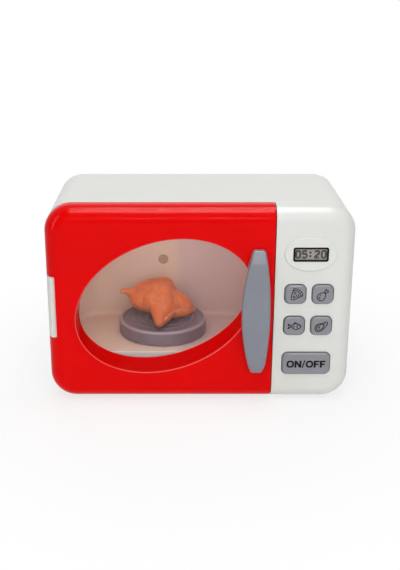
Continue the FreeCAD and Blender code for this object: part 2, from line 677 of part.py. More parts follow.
def panel_trim():
    """The raised oval behind the display and the small moulded dot between the buttons."""
    pad = oval_slab(CONTROL_X, DISPLAY_HEIGHT, OVAL_HALF_WIDTH, OVAL_HALF_TALL, 0, -OVAL_PROUD, WALL / 2)
    pad = pad.makeFillet(OVAL_ROUND, edges_at_depth(pad, -OVAL_PROUD))
    dot = rod_back(CONTROL_X, DOT_HEIGHT, DOT_RADIUS, -DOT_PROUD, WALL / 2)
    dot = dot.makeFillet(DOT_PROUD * 0.9, edges_at_depth(dot, -DOT_PROUD))
    return [pad, dot]


def outer_casing():
    casing = casing_shell().fuse([hinge_knuckle()] + casing_bosses() + panel_trim())
    casing = casing.cut(casing_openings() + casing_pilot_holes())
    bores = [rod_up(HINGE_X, HINGE_DEPTH, PIN_RADIUS + RUNNING_GAP, low, high) for low, high in pin_spans()]
    return casing.cut(bores).removeSplitter()


def rubber_feet():
    feet = []
    for x, depth in foot_places():
        foot = rod_up(x, depth, FOOT_RADIUS, -FOOT_HEIGHT, FOOT_SEAT)
        feet.append(foot.makeFillet(FOOT_HEIGHT / 4, edges_at_height(foot, -FOOT_HEIGHT)))
    return Part.makeCompound(feet)


# Control panel

def button(x, height, wide, tall):
    """A bevelled button with a flange behind the panel and stems that reach the pad."""
    cap_wide = wide - 2 * BUTTON_GAP
    cap_tall = tall - 2 * BUTTON_GAP
    flange_front = WALL + FLANGE_GAP
    flange_back = flange_front + BUTTON_FLANGE
    cap = centred_slab(x, height, cap_wide, cap_tall, BUTTON_CORNER - BUTTON_GAP, -BUTTON_PROUD, flange_front)
    cap = cap.makeFillet(BUTTON_BEVEL, edges_at_depth(cap, -BUTTON_PROUD))
    flange = centred_slab(x, height, wide + 2 * BUTTON_FLANGE, tall + 2 * BUTTON_FLANGE, BUTTON_CORNER,
                          flange_front, flange_back)
    stems = [rod_back(stem_x, height, STEM_RADIUS, flange_back, pad_dome_front() - PAD_GAP)
             for stem_x in stem_places(x, wide)]
    return cap.fuse([flange] + stems).removeSplitter()


def stem_places(x, wide):
    """One stem under a food button, two under the wide button."""
    if wide < 2 * BUTTON_WIDTH:
        return [x]
    return [x - wide / 4, x + wide / 4]


def pad_dome_front():
    return BOARD_FRONT - PAD_SHEET - PAD_DOME


def button_pad():
    """A silicone sheet on the board, with a dome under each button stem."""
    sheet_front = BOARD_FRONT - PAD_SHEET
    low = ON_OFF_HEIGHT - PAD_MARGIN
    high = UPPER_ROW_HEIGHT + PAD_MARGIN
    half = BUTTON_SPREAD / 2 + PAD_MARGIN
    sheet = rounded_slab(CONTROL_X - half, CONTROL_X + half, low, high, PAD_MARGIN / 2,
                         sheet_front, BOARD_FRONT)
    domes = [cone_back(stem_x, height, STEM_RADIUS, PAD_DOME_RADIUS, pad_dome_front(), sheet_front)
             for x, height, wide, _ in BUTTON_PLACES.values() for stem_x in stem_places(x, wide)]
    return sheet.fuse(domes).removeSplitter()


def control_board():
    board = block(BOARD_LEFT, BOARD_RIGHT, BOARD_FRONT, BOARD_FRONT + BOARD_THICK,
                  BOARD_LOW, BOARD_HIGH)
    holes = [rod_back(x, height, SCREW_RADIUS + HOLE_GAP, BOARD_FRONT, BOARD_FRONT + BOARD_THICK)
             for x, height in board_screw_places()]
    return board.cut(holes)


def board_screws():
    seat = BOARD_FRONT + BOARD_THICK
    return Part.makeCompound([screw(point(x, seat, height), Vector(0, -1, 0), SHORT_SCREW_LENGTH)
                              for x, height in board_screw_places()])


def display_bezel():
    front = -OVAL_PROUD
    frame = centred_slab(CONTROL_X, DISPLAY_HEIGHT, DISPLAY_WIDTH, DISPLAY_TALL, DISPLAY_CORNER,
                         front, front + BEZEL_THICK)
    opening = centred_slab(CONTROL_X, DISPLAY_HEIGHT, DISPLAY_WIDTH - 2 * BEZEL_BAND,
                           DISPLAY_TALL - 2 * BEZEL_BAND, DISPLAY_CORNER / 2, front, front + BEZEL_THICK)
    return frame.cut(opening)


def display_screen():
    return centred_slab(CONTROL_X, DISPLAY_HEIGHT, DISPLAY_WIDTH, DISPLAY_TALL, DISPLAY_CORNER,
                        screen_back() - SCREEN_THICK, screen_back())


# Oven

def chamber_form(grow):
    """The oven's inside, swelled by grow: wide rounds at the back corners, small ones at floor and ceiling."""
    x0 = CHAMBER_LEFT - grow
    x1 = CHAMBER_RIGHT + grow
    back = CHAMBER_BACK + grow
    low = CHAMBER_FLOOR - grow
    radius = CHAMBER_BACK_CORNER + grow
    slant = radius * (1 - cos(radians(45)))
    spots = [(x0, BULKHEAD_BACK), (x0, back - radius), (x0 + slant, back - slant), (x0 + radius, back),
             (x1 - radius, back), (x1 - slant, back - slant), (x1, back - radius), (x1, BULKHEAD_BACK)]
    a, b, c, d, e, f, g, h = [point(x, depth, low) for x, depth in spots]
    outline = Part.Wire([Part.makeLine(a, b), Part.Arc(b, c, d).toShape(), Part.makeLine(d, e),
                         Part.Arc(e, f, g).toShape(), Part.makeLine(g, h), Part.makeLine(h, a)])
    form = Part.Face(outline).extrude(Vector(0, 0, CHAMBER_CEILING + grow - low))
    mouth = edges_at_depth(form, BULKHEAD_BACK)
    rims = [edge for height in (low, CHAMBER_CEILING + grow) for edge in edges_at_height(form, height)
            if not any(edge.isSame(other) for other in mouth)]
    return form.makeFillet(CHAMBER_ROUND + grow, rims)


def cavity_liner():
    """The oven's tub, with tabs screwed to the bulkhead, a bush hole, a lens hole and a floor mark."""
    tub = chamber_form(LINER_WALL)
    tabs = [centred_slab(x, height, LINER_TAB_WIDTH, LINER_TAB_TALL, LINER_TAB_TALL / 4,
                         BULKHEAD_BACK, BULKHEAD_BACK + LINER_TAB) for x, height in liner_screw_places()]
    cuts = [chamber_form(0)]
    cuts += [rod_back(x, height, SCREW_RADIUS + HOLE_GAP, BULKHEAD_BACK, BULKHEAD_BACK + LINER_TAB)
             for x, height in liner_screw_places()]
    cuts.append(rod_up(OVEN_X, TURN_DEPTH, BUSH_RADIUS, LINER_UNDER, CHAMBER_FLOOR))
    cuts.append(rod_back(OVEN_X, LENS_HEIGHT, LENS_RADIUS, CHAMBER_BACK, CHAMBER_BACK + LINER_WALL))
    cuts.append(block(OVEN_X - FLOOR_MARK_WIDTH / 2, OVEN_X + FLOOR_MARK_WIDTH / 2, BULKHEAD_BACK,
                      BULKHEAD_BACK + FLOOR_MARK_LENGTH, CHAMBER_FLOOR - FLOOR_MARK_DEEP, CHAMBER_FLOOR))
    return tub.fuse(tabs).cut(cuts).removeSplitter()


def liner_screws():
    seat = BULKHEAD_BACK + LINER_TAB
    return Part.makeCompound([screw(point(x, seat, height), Vector(0, -1, 0), SHORT_SCREW_LENGTH)
                              for x, height in liner_screw_places()])


def lens_flange_back():
    return CHAMBER_BACK + LINER_WALL + LENS_FLANGE_THICK


def lamp_lens():
    """A milky disc that fills the hole in the back wall, with a flange behind and room for the light."""
    disc = rod_back(OVEN_X, LENS_HEIGHT, LENS_RADIUS, CHAMBER_BACK - LENS_PROUD, lens_flange_back())
    flange = rod_back(OVEN_X, LENS_HEIGHT, LENS_RADIUS + LENS_FLANGE, CHAMBER_BACK + LINER_WALL,
                      lens_flange_back())
    room = rod_back(OVEN_X, LENS_HEIGHT, LED_RADIUS + HOLE_GAP, CHAMBER_BACK + LINER_WALL / 2,
                    lens_flange_back())
    disc = disc.makeFillet(LENS_PROUD * 0.9, edges_at_depth(disc, CHAMBER_BACK - LENS_PROUD))
    return disc.fuse(flange).cut(room).removeSplitter()


def lamp_board():
    """A small round board that carries the oven light, seated on the lens flange."""
    seat = lens_flange_back()
    board = rod_back(OVEN_X, LENS_HEIGHT, LENS_RADIUS + LENS_FLANGE, seat, seat + LAMP_BOARD_THICK)
    light = rod_back(OVEN_X, LENS_HEIGHT, LED_RADIUS, CHAMBER_BACK + LINER_WALL, seat)
    return board.fuse(light).removeSplitter()


# Turntable and its drive

def hex_rod(across_flats, height0, height1):
    """A hexagonal rod on the turntable's axis."""
    reach = across_flats / 2 / cos(radians(30))
    corners = [point(OVEN_X + reach * cos(radians(60 * k)), TURN_DEPTH + reach * sin(radians(60 * k)), height0)
               for k in range(6)]
    return Part.Face(Part.makePolygon(corners + corners[:1])).extrude(Vector(0, 0, height1 - height0))


def turntable():
    """A round plate with a raised rim and rings, hollow below, with a keyed hub."""
    rim = TURNTABLE_RADIUS - TURNTABLE_RIM
    under = DISH_HEIGHT - TURNTABLE_SKIN
    spots = [(0, TURNTABLE_LOW), (HUB_RADIUS, TURNTABLE_LOW), (HUB_RADIUS, under), (rim, under),
             (rim, TURNTABLE_LOW), (TURNTABLE_RADIUS, TURNTABLE_LOW), (TURNTABLE_RADIUS, TURNTABLE_HIGH),
             (rim + TURNTABLE_DISH, TURNTABLE_HIGH), (rim, DISH_HEIGHT)]
    for ring in range(RING_COUNT, 0, -1):
        middle = ring * RING_PITCH
        spots += [(middle + 2 * RING_HALF, DISH_HEIGHT), (middle + RING_HALF, DISH_HEIGHT + RING_PROUD),
                  (middle - RING_HALF, DISH_HEIGHT + RING_PROUD), (middle - 2 * RING_HALF, DISH_HEIGHT)]
    spots.append((0, DISH_HEIGHT))
    corners = [point(OVEN_X + reach, TURN_DEPTH, height) for reach, height in spots]
    profile = Part.Face(Part.makePolygon(corners + corners[:1]))
    plate = profile.revolve(point(OVEN_X, TURN_DEPTH, 0), Vector(0, 0, 1), 360)
    outside = [edge for edge in edges_at_height(plate, TURNTABLE_HIGH)
               if abs(edge.BoundBox.XLength - 2 * TURNTABLE_RADIUS) < 1]
    plate = plate.makeFillet(TURNTABLE_EDGE_ROUND, outside)
    socket = hex_rod(KEY_ACROSS_FLATS + 2 * KEY_GAP, TURNTABLE_LOW, TURNTABLE_LOW + KEY_LENGTH + KEY_GAP)
    return plate.cut(socket)


def turntable_spindle():
    shaft = rod_up(OVEN_X, TURN_DEPTH, SPINDLE_RADIUS, GEAR_PLATE_LOW, TURNTABLE_LOW)
    return shaft.fuse(hex_rod(KEY_ACROSS_FLATS, TURNTABLE_LOW, TURNTABLE_LOW + KEY_LENGTH))


def spindle_bush():
    """A flanged bush in the oven floor that guides the spindle."""
    top = CHAMBER_FLOOR + TURNTABLE_LIFT / 2
    sleeve = rod_up(OVEN_X, TURN_DEPTH, BUSH_RADIUS, LINER_UNDER - BUSH_FLANGE_THICK, top)
    flange = rod_up(OVEN_X, TURN_DEPTH, BUSH_RADIUS + BUSH_FLANGE, LINER_UNDER - BUSH_FLANGE_THICK, LINER_UNDER)
    bore = rod_up(OVEN_X, TURN_DEPTH, SPINDLE_RADIUS + RUNNING_GAP, LINER_UNDER - BUSH_FLANGE_THICK, top)
    return sleeve.fuse(flange).cut(bore).removeSplitter()


def involute_angle(base, radius):
    """How far an involute has turned from its base circle when it reaches a radius."""
    if radius <= base:
        return 0.0
    pressure = acos(base / radius)
    return tan(pressure) - pressure


def toothed_wheel(x, teeth, first_tooth, height0, height1):
    """A spur wheel with involute teeth, one of them pointing along first_tooth degrees from +X."""
    pitch_radius = MODULE * teeth / 2
    base = pitch_radius * cos(radians(PRESSURE_ANGLE))
    root = pitch_radius - DEDENDUM * MODULE
    tip = pitch_radius + ADDENDUM * MODULE
    start = max(base, root)
    half_tooth = (pi * MODULE - BACKLASH) / 4 / pitch_radius
    half_at_base = half_tooth + involute_angle(base, pitch_radius)
    flank = [(root, half_at_base)] if root < base else []
    for step in range(FLANK_STEPS + 1):
        radius = start + (tip - start) * step / FLANK_STEPS
        flank.append((radius, half_at_base - involute_angle(base, radius)))
    corners = []
    for tooth in range(teeth):
        middle = radians(first_tooth) + 2 * pi * tooth / teeth
        for radius, half in [(r, -h) for r, h in flank] + flank[::-1]:
            turn = middle + half
            corners.append(point(x + radius * cos(turn), TURN_DEPTH + radius * sin(turn), height0))
    return Part.Face(Part.makePolygon(corners + corners[:1])).extrude(Vector(0, 0, height1 - height0))


def turntable_gear():
    """The large wheel on the spindle, standing on the gear plate by its hub."""
    wheel = toothed_wheel(OVEN_X, TURN_TEETH, 0, TURN_GEAR_LOW, TURN_GEAR_HIGH)
    hub = rod_up(OVEN_X, TURN_DEPTH, GEAR_HUB_RADIUS, GEAR_PLATE_HIGH + FLANGE_GAP, TURN_GEAR_HIGH)
    bore = rod_up(OVEN_X, TURN_DEPTH, SPINDLE_RADIUS, GEAR_PLATE_HIGH, TURN_GEAR_HIGH)
    return wheel.fuse(hub).cut(bore).removeSplitter()


def idler_gear():
    """The double wheel between the motor pinion and the turntable gear."""
    large = toothed_wheel(IDLER_X, IDLER_LARGE_TEETH, 0, LARGE_LOW, LARGE_HIGH)
    small = toothed_wheel(IDLER_X, IDLER_SMALL_TEETH, 180 + 180 / IDLER_SMALL_TEETH, LARGE_HIGH,
                          TURN_GEAR_HIGH + GEAR_GAP)
    foot = rod_up(IDLER_X, TURN_DEPTH, 2 * PIN_RADIUS, GEAR_PLATE_HIGH + FLANGE_GAP, LARGE_LOW)
    bore = rod_up(IDLER_X, TURN_DEPTH, PIN_RADIUS + RUNNING_GAP, GEAR_PLATE_HIGH, TURN_GEAR_HIGH + GEAR_GAP)
    return large.fuse([small, foot]).cut(bore).removeSplitter()


def idler_axle():
    return rod_up(IDLER_X, TURN_DEPTH, PIN_RADIUS, GEAR_PLATE_LOW, AXLE_HIGH)


def motor_pinion():
    pinion = toothed_wheel(MOTOR_X, PINION_TEETH, 180 + 180 / PINION_TEETH, LARGE_LOW, LARGE_HIGH)
    return pinion.cut(rod_up(MOTOR_X, TURN_DEPTH, MOTOR_SHAFT_RADIUS, LARGE_LOW, LARGE_HIGH))


def motor_shaft():
    return rod_up(MOTOR_X, TURN_DEPTH, MOTOR_SHAFT_RADIUS, GEAR_PLATE_LOW - MOTOR_SHAFT_IN, LARGE_HIGH)


def drive_motor():
    """A flat round motor under the gear plate, with a boss in the plate and a terminal block."""
    low = WALL + MOTOR_FLOOR_GAP
    can = rod_up(MOTOR_X, TURN_DEPTH, MOTOR_RADIUS, low, GEAR_PLATE_LOW)
    boss = rod_up(MOTOR_X, TURN_DEPTH, MOTOR_BOSS_RADIUS, GEAR_PLATE_LOW, GEAR_PLATE_HIGH)
    terminal = block(MOTOR_X, MOTOR_X + MOTOR_RADIUS + TERMINAL_PROUD, TURN_DEPTH - TERMINAL_WIDTH / 2,
                     TURN_DEPTH + TERMINAL_WIDTH / 2, low, low + TERMINAL_TALL)
    bearing = rod_up(MOTOR_X, TURN_DEPTH, MOTOR_SHAFT_RADIUS + RUNNING_GAP,
                     GEAR_PLATE_LOW - MOTOR_SHAFT_IN - RUNNING_GAP, GEAR_PLATE_HIGH)
    return can.fuse([boss, terminal]).cut(bearing).removeSplitter()


def gear_plate():
    """The plate that carries the motor, the idler axle and the spindle's foot."""
    x0, x1, depth0, depth1 = gear_plate_span()
    plate = block(x0, x1, depth0, depth1, GEAR_PLATE_LOW, GEAR_PLATE_HIGH)
    holes = [rod_up(OVEN_X, TURN_DEPTH, SPINDLE_RADIUS + RUNNING_GAP, GEAR_PLATE_LOW, GEAR_PLATE_HIGH),
             rod_up(IDLER_X, TURN_DEPTH, PIN_RADIUS, GEAR_PLATE_LOW, GEAR_PLATE_HIGH),
             rod_up(MOTOR_X, TURN_DEPTH, MOTOR_BOSS_RADIUS, GEAR_PLATE_LOW, GEAR_PLATE_HIGH)]
    holes += [rod_up(x, depth, SCREW_RADIUS + HOLE_GAP, GEAR_PLATE_LOW, GEAR_PLATE_HIGH)
              for x, depth in pillar_places()]
    return plate.cut(holes)


def gear_plate_screws():
    return Part.makeCompound([screw(point(x, depth, GEAR_PLATE_HIGH), Vector(0, 0, -1), SCREW_LENGTH)
                              for x, depth in pillar_places()])


def toy_chicken():
    """A toy roast chicken: body, breast, two legs, a wing and a tail flap, cut flat where it rests."""
    rest = DISH_HEIGHT + RING_PROUD
    bird = None
    for start, end, start_share, end_share in CHICKEN_FORMS.values():
        ends = [(OVEN_X + x * TURNTABLE_RADIUS, TURN_DEPTH + depth * TURNTABLE_RADIUS,
                 rest + height * TURNTABLE_RADIUS) for x, depth, height in (start, end)]
        form = tapered_form(ends[0], ends[1], start_share * TURNTABLE_RADIUS, end_share * TURNTABLE_RADIUS)
        bird = bird.fuse(form) if bird else form
    reach = 2 * TURNTABLE_RADIUS
    table = block(OVEN_X - reach, OVEN_X + reach, TURN_DEPTH - reach, TURN_DEPTH + reach, rest - reach,
                  rest + CHICKEN_GAP)
    return bird.cut(table).removeSplitter()


# Door

def window_oval(grow, depth):
    """The oval in the door's front face, swelled by grow."""
    x, height, along, across = touching_oval(WINDOW_LEFT, WINDOW_RIGHT, WINDOW_FROM_BOTTOM,
                                             WINDOW_HIGH, WINDOW_TURN)
    return oval_outline(x, height, along + grow, across + grow, WINDOW_TURN, depth)


def rear_oval(grow, depth):
    """The smaller oval at the pane, drawn in by the tunnel's draft and swelled by grow."""
    x, height, along, across = touching_oval(WINDOW_LEFT + TUNNEL_DRAFT_SIDE, WINDOW_RIGHT - TUNNEL_DRAFT_SIDE,
                                             WINDOW_FROM_BOTTOM + TUNNEL_DRAFT_BOTTOM,
                                             WINDOW_HIGH - TUNNEL_DRAFT_TOP, WINDOW_TURN)
    return oval_outline(x, height, along + grow, across + grow, WINDOW_TURN, depth)


def window_tunnel(grow):
    """The sloping oval tunnel from the door's front face to the pane, swelled by grow."""
    return Part.makeLoft([window_oval(grow, 0), rear_oval(grow, PANE_FRONT)], True, True)


def notch_cuts():
    """The room that the hinge knuckle takes in the door's left edge."""
    side = block(LEFT - WALL, LEFT + NOTCH_WIDTH, -WALL, DOOR_DEPTH + WALL, NOTCH_LOW, NOTCH_HIGH)
    swing = rod_up(HINGE_X, HINGE_DEPTH, NOTCH_RADIUS, NOTCH_LOW, NOTCH_HIGH)
    return [side, swing]


def door_screw_places():
    """The back frame's six screws, round the edge of the door."""
    inset = 3 * WALL
    columns = (LEFT + CORNER_RADIUS, OVEN_X, DOOR_RIGHT - inset)
    return [(x, height) for x in columns for height in (inset + WALL, BODY_HEIGHT - inset - WALL)]


def handle_screw_heights():
    return [HANDLE_LOW + HANDLE_FOOT / 2, HANDLE_HIGH - HANDLE_FOOT / 2]


def door_panel():
    """The red door: a shell like the casing's front, with a window tunnel, hinge lugs and screw bosses."""
    span = block(LEFT, DOOR_RIGHT, 0, DOOR_DEPTH, 0, BODY_HEIGHT)
    outer = body_form(0, DOOR_DEPTH).common(span)
    edge = [e for e in outer.Edges if abs(e.BoundBox.XMin - DOOR_RIGHT) < TINY
            and e.BoundBox.YMin < FRONT_Y + DOOR_DEPTH - TINY]
    outer = outer.makeFillet(DOOR_EDGE_ROUND, edge)
    inner = body_form(WALL, DOOR_DEPTH + WALL).common(
        block(LEFT, DOOR_RIGHT - WALL, 0, DOOR_DEPTH + WALL, 0, BODY_HEIGHT))
    lugs = [inner.common(block(LEFT, LEFT + LUG_REACH, 0, FRAME_FRONT, low, low + LUG_THICK))
            for low in (NOTCH_LOW - LUG_THICK, NOTCH_HIGH)]
    bosses = [rod_back(x, height, STANDOFF_RADIUS, WALL / 2, FRAME_FRONT) for x, height in door_screw_places()]
    door = outer.cut(inner).fuse(lugs + bosses + [window_tunnel(WINDOW_RIM).common(outer)])
    cuts = [window_tunnel(0)] + notch_cuts()
    cuts += [rod_back(x, height, SCREW_RADIUS + PILOT_GAP, FRAME_FRONT - SCREW_LENGTH, FRAME_FRONT)
             for x, height in door_screw_places()]
    cuts += [rod_up(HINGE_X, HINGE_DEPTH, PIN_RADIUS, low, high) for low, high in pin_spans()]
    for height in handle_screw_heights():
        cuts.append(rod_back(HANDLE_END_X, height, SCREW_RADIUS + HOLE_GAP, 0, WALL))
        cuts.append(rod_back(HANDLE_END_X, height, HEAD_RADIUS + HEAD_GAP, WALL, WALL + HEAD_TALL + HEAD_GAP))
    door = door.cut(cuts).removeSplitter()
    oval = [e for e in edges_at_depth(door, 0)
            if e.BoundBox.XLength > WINDOW_RIGHT - WINDOW_LEFT - TINY
            and not isinstance(e.Curve, Part.Line)]
    return door.makeFillet(WINDOW_EDGE_ROUND, oval)


def door_back_frame():
    """The plate that closes the door's back and holds the pane, with the latch hook."""
    room = body_form(WALL + COVER_GAP, DOOR_DEPTH).common(
        block(LEFT, DOOR_RIGHT - WALL - COVER_GAP, FRAME_FRONT, DOOR_DEPTH, 0, BODY_HEIGHT))
    hook = block(LATCH_X, LATCH_X + LATCH_THICK, DOOR_DEPTH - BACK_FRAME_THICK / 2, BULKHEAD_BACK + LATCH_REACH,
                 LATCH_HEIGHT - LATCH_TALL / 2, LATCH_HEIGHT + LATCH_TALL / 2)
    hook = hook.makeFillet(LATCH_THICK / 3, edges_at_depth(hook, BULKHEAD_BACK + LATCH_REACH))
    opening = prism_back(rear_oval(WINDOW_RIM / 2, FRAME_FRONT), FRAME_FRONT, DOOR_DEPTH)
    cuts = [opening] + notch_cuts()
    cuts += [rod_back(x, height, SCREW_RADIUS + HOLE_GAP, FRAME_FRONT, DOOR_DEPTH)
             for x, height in door_screw_places()]
    return room.fuse(hook).cut(cuts).removeSplitter()


def door_window():
    return prism_back(rear_oval(PANE_LAP, PANE_FRONT), PANE_FRONT, FRAME_FRONT)


def door_screws():
    return Part.makeCompound([screw(point(x, DOOR_DEPTH, height), Vector(0, -1, 0), SCREW_LENGTH)
                              for x, height in door_screw_places()])


def hinge_pins():
    return Part.makeCompound([rod_up(HINGE_X, HINGE_DEPTH, PIN_RADIUS, low, high - RUNNING_GAP)
                              for low, high in pin_spans()])


def handle_outline():
    """The handle seen from the front: a leaf with blunt ends, fuller on its left."""
    middle = (HANDLE_LOW + HANDLE_HIGH) / 2
    left, right = HANDLE_END_X - HANDLE_END_HALF_WIDTH, HANDLE_END_X + HANDLE_END_HALF_WIDTH
    spots = [(left, HANDLE_LOW), (HANDLE_X - HANDLE_HALF_WIDTH, middle), (left, HANDLE_HIGH),
             (right, HANDLE_HIGH), (HANDLE_X + HANDLE_HALF_WIDTH, middle), (right, HANDLE_LOW)]
    a, b, c, d, e, f = [point(x, -HANDLE_PROUD, height) for x, height in spots]
    return Part.Wire([Part.Arc(a, b, c).toShape(), Part.makeLine(c, d),
                      Part.Arc(d, e, f).toShape(), Part.makeLine(f, a)])


def handle_front_edges(bow):
    """The long edges and the ramp edges round the handle's front, without the folds across it."""
    grip_y = FRONT_Y - HANDLE_PROUD + HANDLE_THICK
    return [e for e in bow.Edges if e.BoundBox.YMin < grip_y - TINY and e.CenterOfMass.y < grip_y
            and e.BoundBox.ZLength > TINY and abs(e.CenterOfMass.x - HANDLE_X) > TINY]


def door_handle():
    """A bow handle: flat in the middle, ramped down to a foot at each end, open behind for the fingers."""
    leaf = prism_back(handle_outline(), -HANDLE_PROUD, 0)
    corners = [e for e in leaf.Edges if abs(e.BoundBox.YLength - HANDLE_PROUD) < TINY]
    leaf = leaf.makeFillet(HANDLE_CORNER, corners)
    grip = HANDLE_PROUD - HANDLE_THICK
    slope = HANDLE_FOOT + grip
    side = [(0, HANDLE_LOW), (-HANDLE_END_RISE, HANDLE_LOW), (-HANDLE_PROUD, HANDLE_LOW + HANDLE_RAMP),
            (-HANDLE_PROUD, HANDLE_HIGH - HANDLE_RAMP), (-HANDLE_END_RISE, HANDLE_HIGH), (0, HANDLE_HIGH),
            (0, HANDLE_HIGH - HANDLE_FOOT), (-grip, HANDLE_HIGH - slope), (-grip, HANDLE_LOW + slope),
            (0, HANDLE_LOW + HANDLE_FOOT)]
    profile = flat_prism(side, HANDLE_X - HANDLE_HALF_WIDTH, HANDLE_X + HANDLE_HALF_WIDTH)
    folds = [e for e in edges_at_depth(profile, -HANDLE_PROUD) if e.BoundBox.ZLength < TINY]
    bow = leaf.common(profile.makeFillet(HANDLE_ROLL, folds))
    bow = bow.makeFillet(HANDLE_EDGE_ROUND, handle_front_edges(bow))
    holes = [rod_back(HANDLE_END_X, height, SCREW_RADIUS + PILOT_GAP, WALL - SHORT_SCREW_LENGTH, 0)
             for height in handle_screw_heights()]
    return bow.cut(holes)


def handle_screws():
    return Part.makeCompound([screw(point(HANDLE_END_X, WALL, height), Vector(0, -1, 0), SHORT_SCREW_LENGTH)
                              for height in handle_screw_heights()])


def latch_catch():
    """A leaf behind the bulkhead that the door's hook rubs along."""
    face = LATCH_X + LATCH_THICK + LATCH_GAP
    low = LATCH_HEIGHT - LATCH_TALL / 2
    high = LATCH_HEIGHT + LATCH_TALL / 2
    base = block(face, face + CATCH_BASE, BULKHEAD_BACK, BULKHEAD_BACK + CATCH_THICK, low, high)
    leaf = block(face, face + CATCH_THICK, BULKHEAD_BACK, BULKHEAD_BACK + CATCH_LEAF, low, high)
    return base.fuse(leaf).removeSplitter()


# Back

def rear_cover():
    """The plate in the shell's back, with screw seats, speaker slots and the battery opening."""
    plate = rounded_slab(LEFT + WALL + COVER_GAP, RIGHT - WALL - COVER_GAP, WALL + COVER_GAP,
                         BODY_HEIGHT - WALL - COVER_GAP, CORNER_RADIUS - WALL - COVER_GAP,
                         COVER_FRONT, COVER_BACK)
    cuts = []
    for x, height in cover_screw_places():
        cuts.append(rod_back(x, height, SCREW_RADIUS + HOLE_GAP, COVER_FRONT, COVER_BACK))
        cuts.append(rod_back(x, height, HEAD_RADIUS + HEAD_GAP, COVER_BACK - HEAD_TALL, COVER_BACK))
    for slot in range(SLOT_COUNT):
        height = SPEAKER_HEIGHT + (slot - (SLOT_COUNT - 1) / 2) * SLOT_PITCH
        half = sqrt(CONE_RADIUS ** 2 - (height - SPEAKER_HEIGHT) ** 2)
        cuts.append(centred_slab(SPEAKER_X, height, 2 * half, SLOT_WIDTH, SLOT_WIDTH * 0.45,
                                 COVER_FRONT, COVER_BACK))
    cuts.append(cell_room(COVER_FRONT, COVER_BACK))
    cuts.append(lid_form(LID_LAP, LID_FRONT, COVER_BACK))
    cuts.append(rod_back(BATTERY_X, LID_SCREW_HEIGHT, SCREW_RADIUS + HOLE_GAP, COVER_FRONT, COVER_BACK))
    bite = SHORT_SCREW_LENGTH - BATTERY_TAB_THICK
    cuts += [rod_back(x, height, SCREW_RADIUS + PILOT_GAP, COVER_FRONT, COVER_FRONT + bite)
             for x, height in battery_screw_places()]
    boss = rod_back(BATTERY_X, LID_SCREW_HEIGHT, STANDOFF_RADIUS, COVER_FRONT - SCREW_LENGTH, COVER_FRONT)
    boss = boss.cut(rod_back(BATTERY_X, LID_SCREW_HEIGHT, SCREW_RADIUS + HOLE_GAP, COVER_FRONT - SCREW_LENGTH,
                             COVER_FRONT))
    return plate.cut(cuts).fuse(boss).removeSplitter()


def rear_cover_screws():
    seat = COVER_BACK - HEAD_TALL
    length = SCREW_LENGTH + COVER_THICK - HEAD_TALL
    return Part.makeCompound([screw(point(x, seat, height), Vector(0, -1, 0), length)
                              for x, height in cover_screw_places()])


def cell_room(depth0, depth1):
    return block(BATTERY_X - CELL_ROOM_WIDTH / 2, BATTERY_X + CELL_ROOM_WIDTH / 2, depth0, depth1,
                 CELL_ROOM_LOW, CELL_ROOM_HIGH)


def lid_form(lap, depth0, depth1):
    """The battery cover's outline: the cell room with a lap round it and an ear for the screw on top."""
    half = CELL_ROOM_WIDTH / 2 + lap
    plate = rounded_slab(BATTERY_X - half, BATTERY_X + half, CELL_ROOM_LOW - lap, CELL_ROOM_HIGH + lap, LID_LAP,
                         depth0, depth1)
    ear_half = LID_EAR / 2 + lap - LID_LAP
    ear = rounded_slab(BATTERY_X - ear_half, BATTERY_X + ear_half, CELL_ROOM_HIGH - LID_EAR,
                       CELL_ROOM_HIGH + lap + LID_EAR, LID_LAP, depth0, depth1)
    return plate.fuse(ear).removeSplitter()


def battery_cover():
    """The lid over the cells, with a plug that fits the opening and a captive screw in its ear."""
    plate = lid_form(LID_LAP - LID_GAP, LID_FRONT, COVER_BACK)
    plug = block(BATTERY_X - CELL_ROOM_WIDTH / 2 + LID_GAP, BATTERY_X + CELL_ROOM_WIDTH / 2 - LID_GAP,
                 COVER_FRONT + LID_GAP, LID_FRONT, CELL_ROOM_LOW + LID_GAP, CELL_ROOM_HIGH - LID_GAP)
    hole = rod_back(BATTERY_X, LID_SCREW_HEIGHT, SCREW_RADIUS + PILOT_GAP, LID_FRONT, COVER_BACK)
    seat = rod_back(BATTERY_X, LID_SCREW_HEIGHT, HEAD_RADIUS + HEAD_GAP, COVER_BACK - HEAD_TALL / 2, COVER_BACK)
    return plate.fuse(plug).cut([hole, seat]).removeSplitter()


def battery_cover_screw():
    seat = point(BATTERY_X, COVER_BACK - HEAD_TALL / 2, LID_SCREW_HEIGHT)
    return screw(seat, Vector(0, -1, 0), SCREW_LENGTH)


def battery_screw_places():
    height = BATTERY_LOW - BATTERY_TAB / 2
    return [(BATTERY_X + side * BATTERY_TAB_SPREAD / 2, height) for side in (-1, 1)]


def battery_box():
    """An open box for the cells on the rear cover's inside, with two screw tabs below."""
    half = CELL_ROOM_WIDTH / 2 + BATTERY_WALL
    box = block(BATTERY_X - half, BATTERY_X + half, CELL_ROOM_FRONT - BATTERY_WALL, COVER_FRONT,
                BATTERY_LOW, CELL_ROOM_HIGH + BATTERY_WALL)
    tabs = [centred_slab(x, height, BATTERY_TAB, BATTERY_TAB, BATTERY_TAB / 4, COVER_FRONT - BATTERY_TAB_THICK,
                         COVER_FRONT) for x, height in battery_screw_places()]
    holes = [rod_back(x, height, SCREW_RADIUS + HOLE_GAP, COVER_FRONT - BATTERY_TAB_THICK, COVER_FRONT)
             for x, height in battery_screw_places()]
    return box.fuse(tabs).cut([cell_room(CELL_ROOM_FRONT, COVER_FRONT)] + holes).removeSplitter()


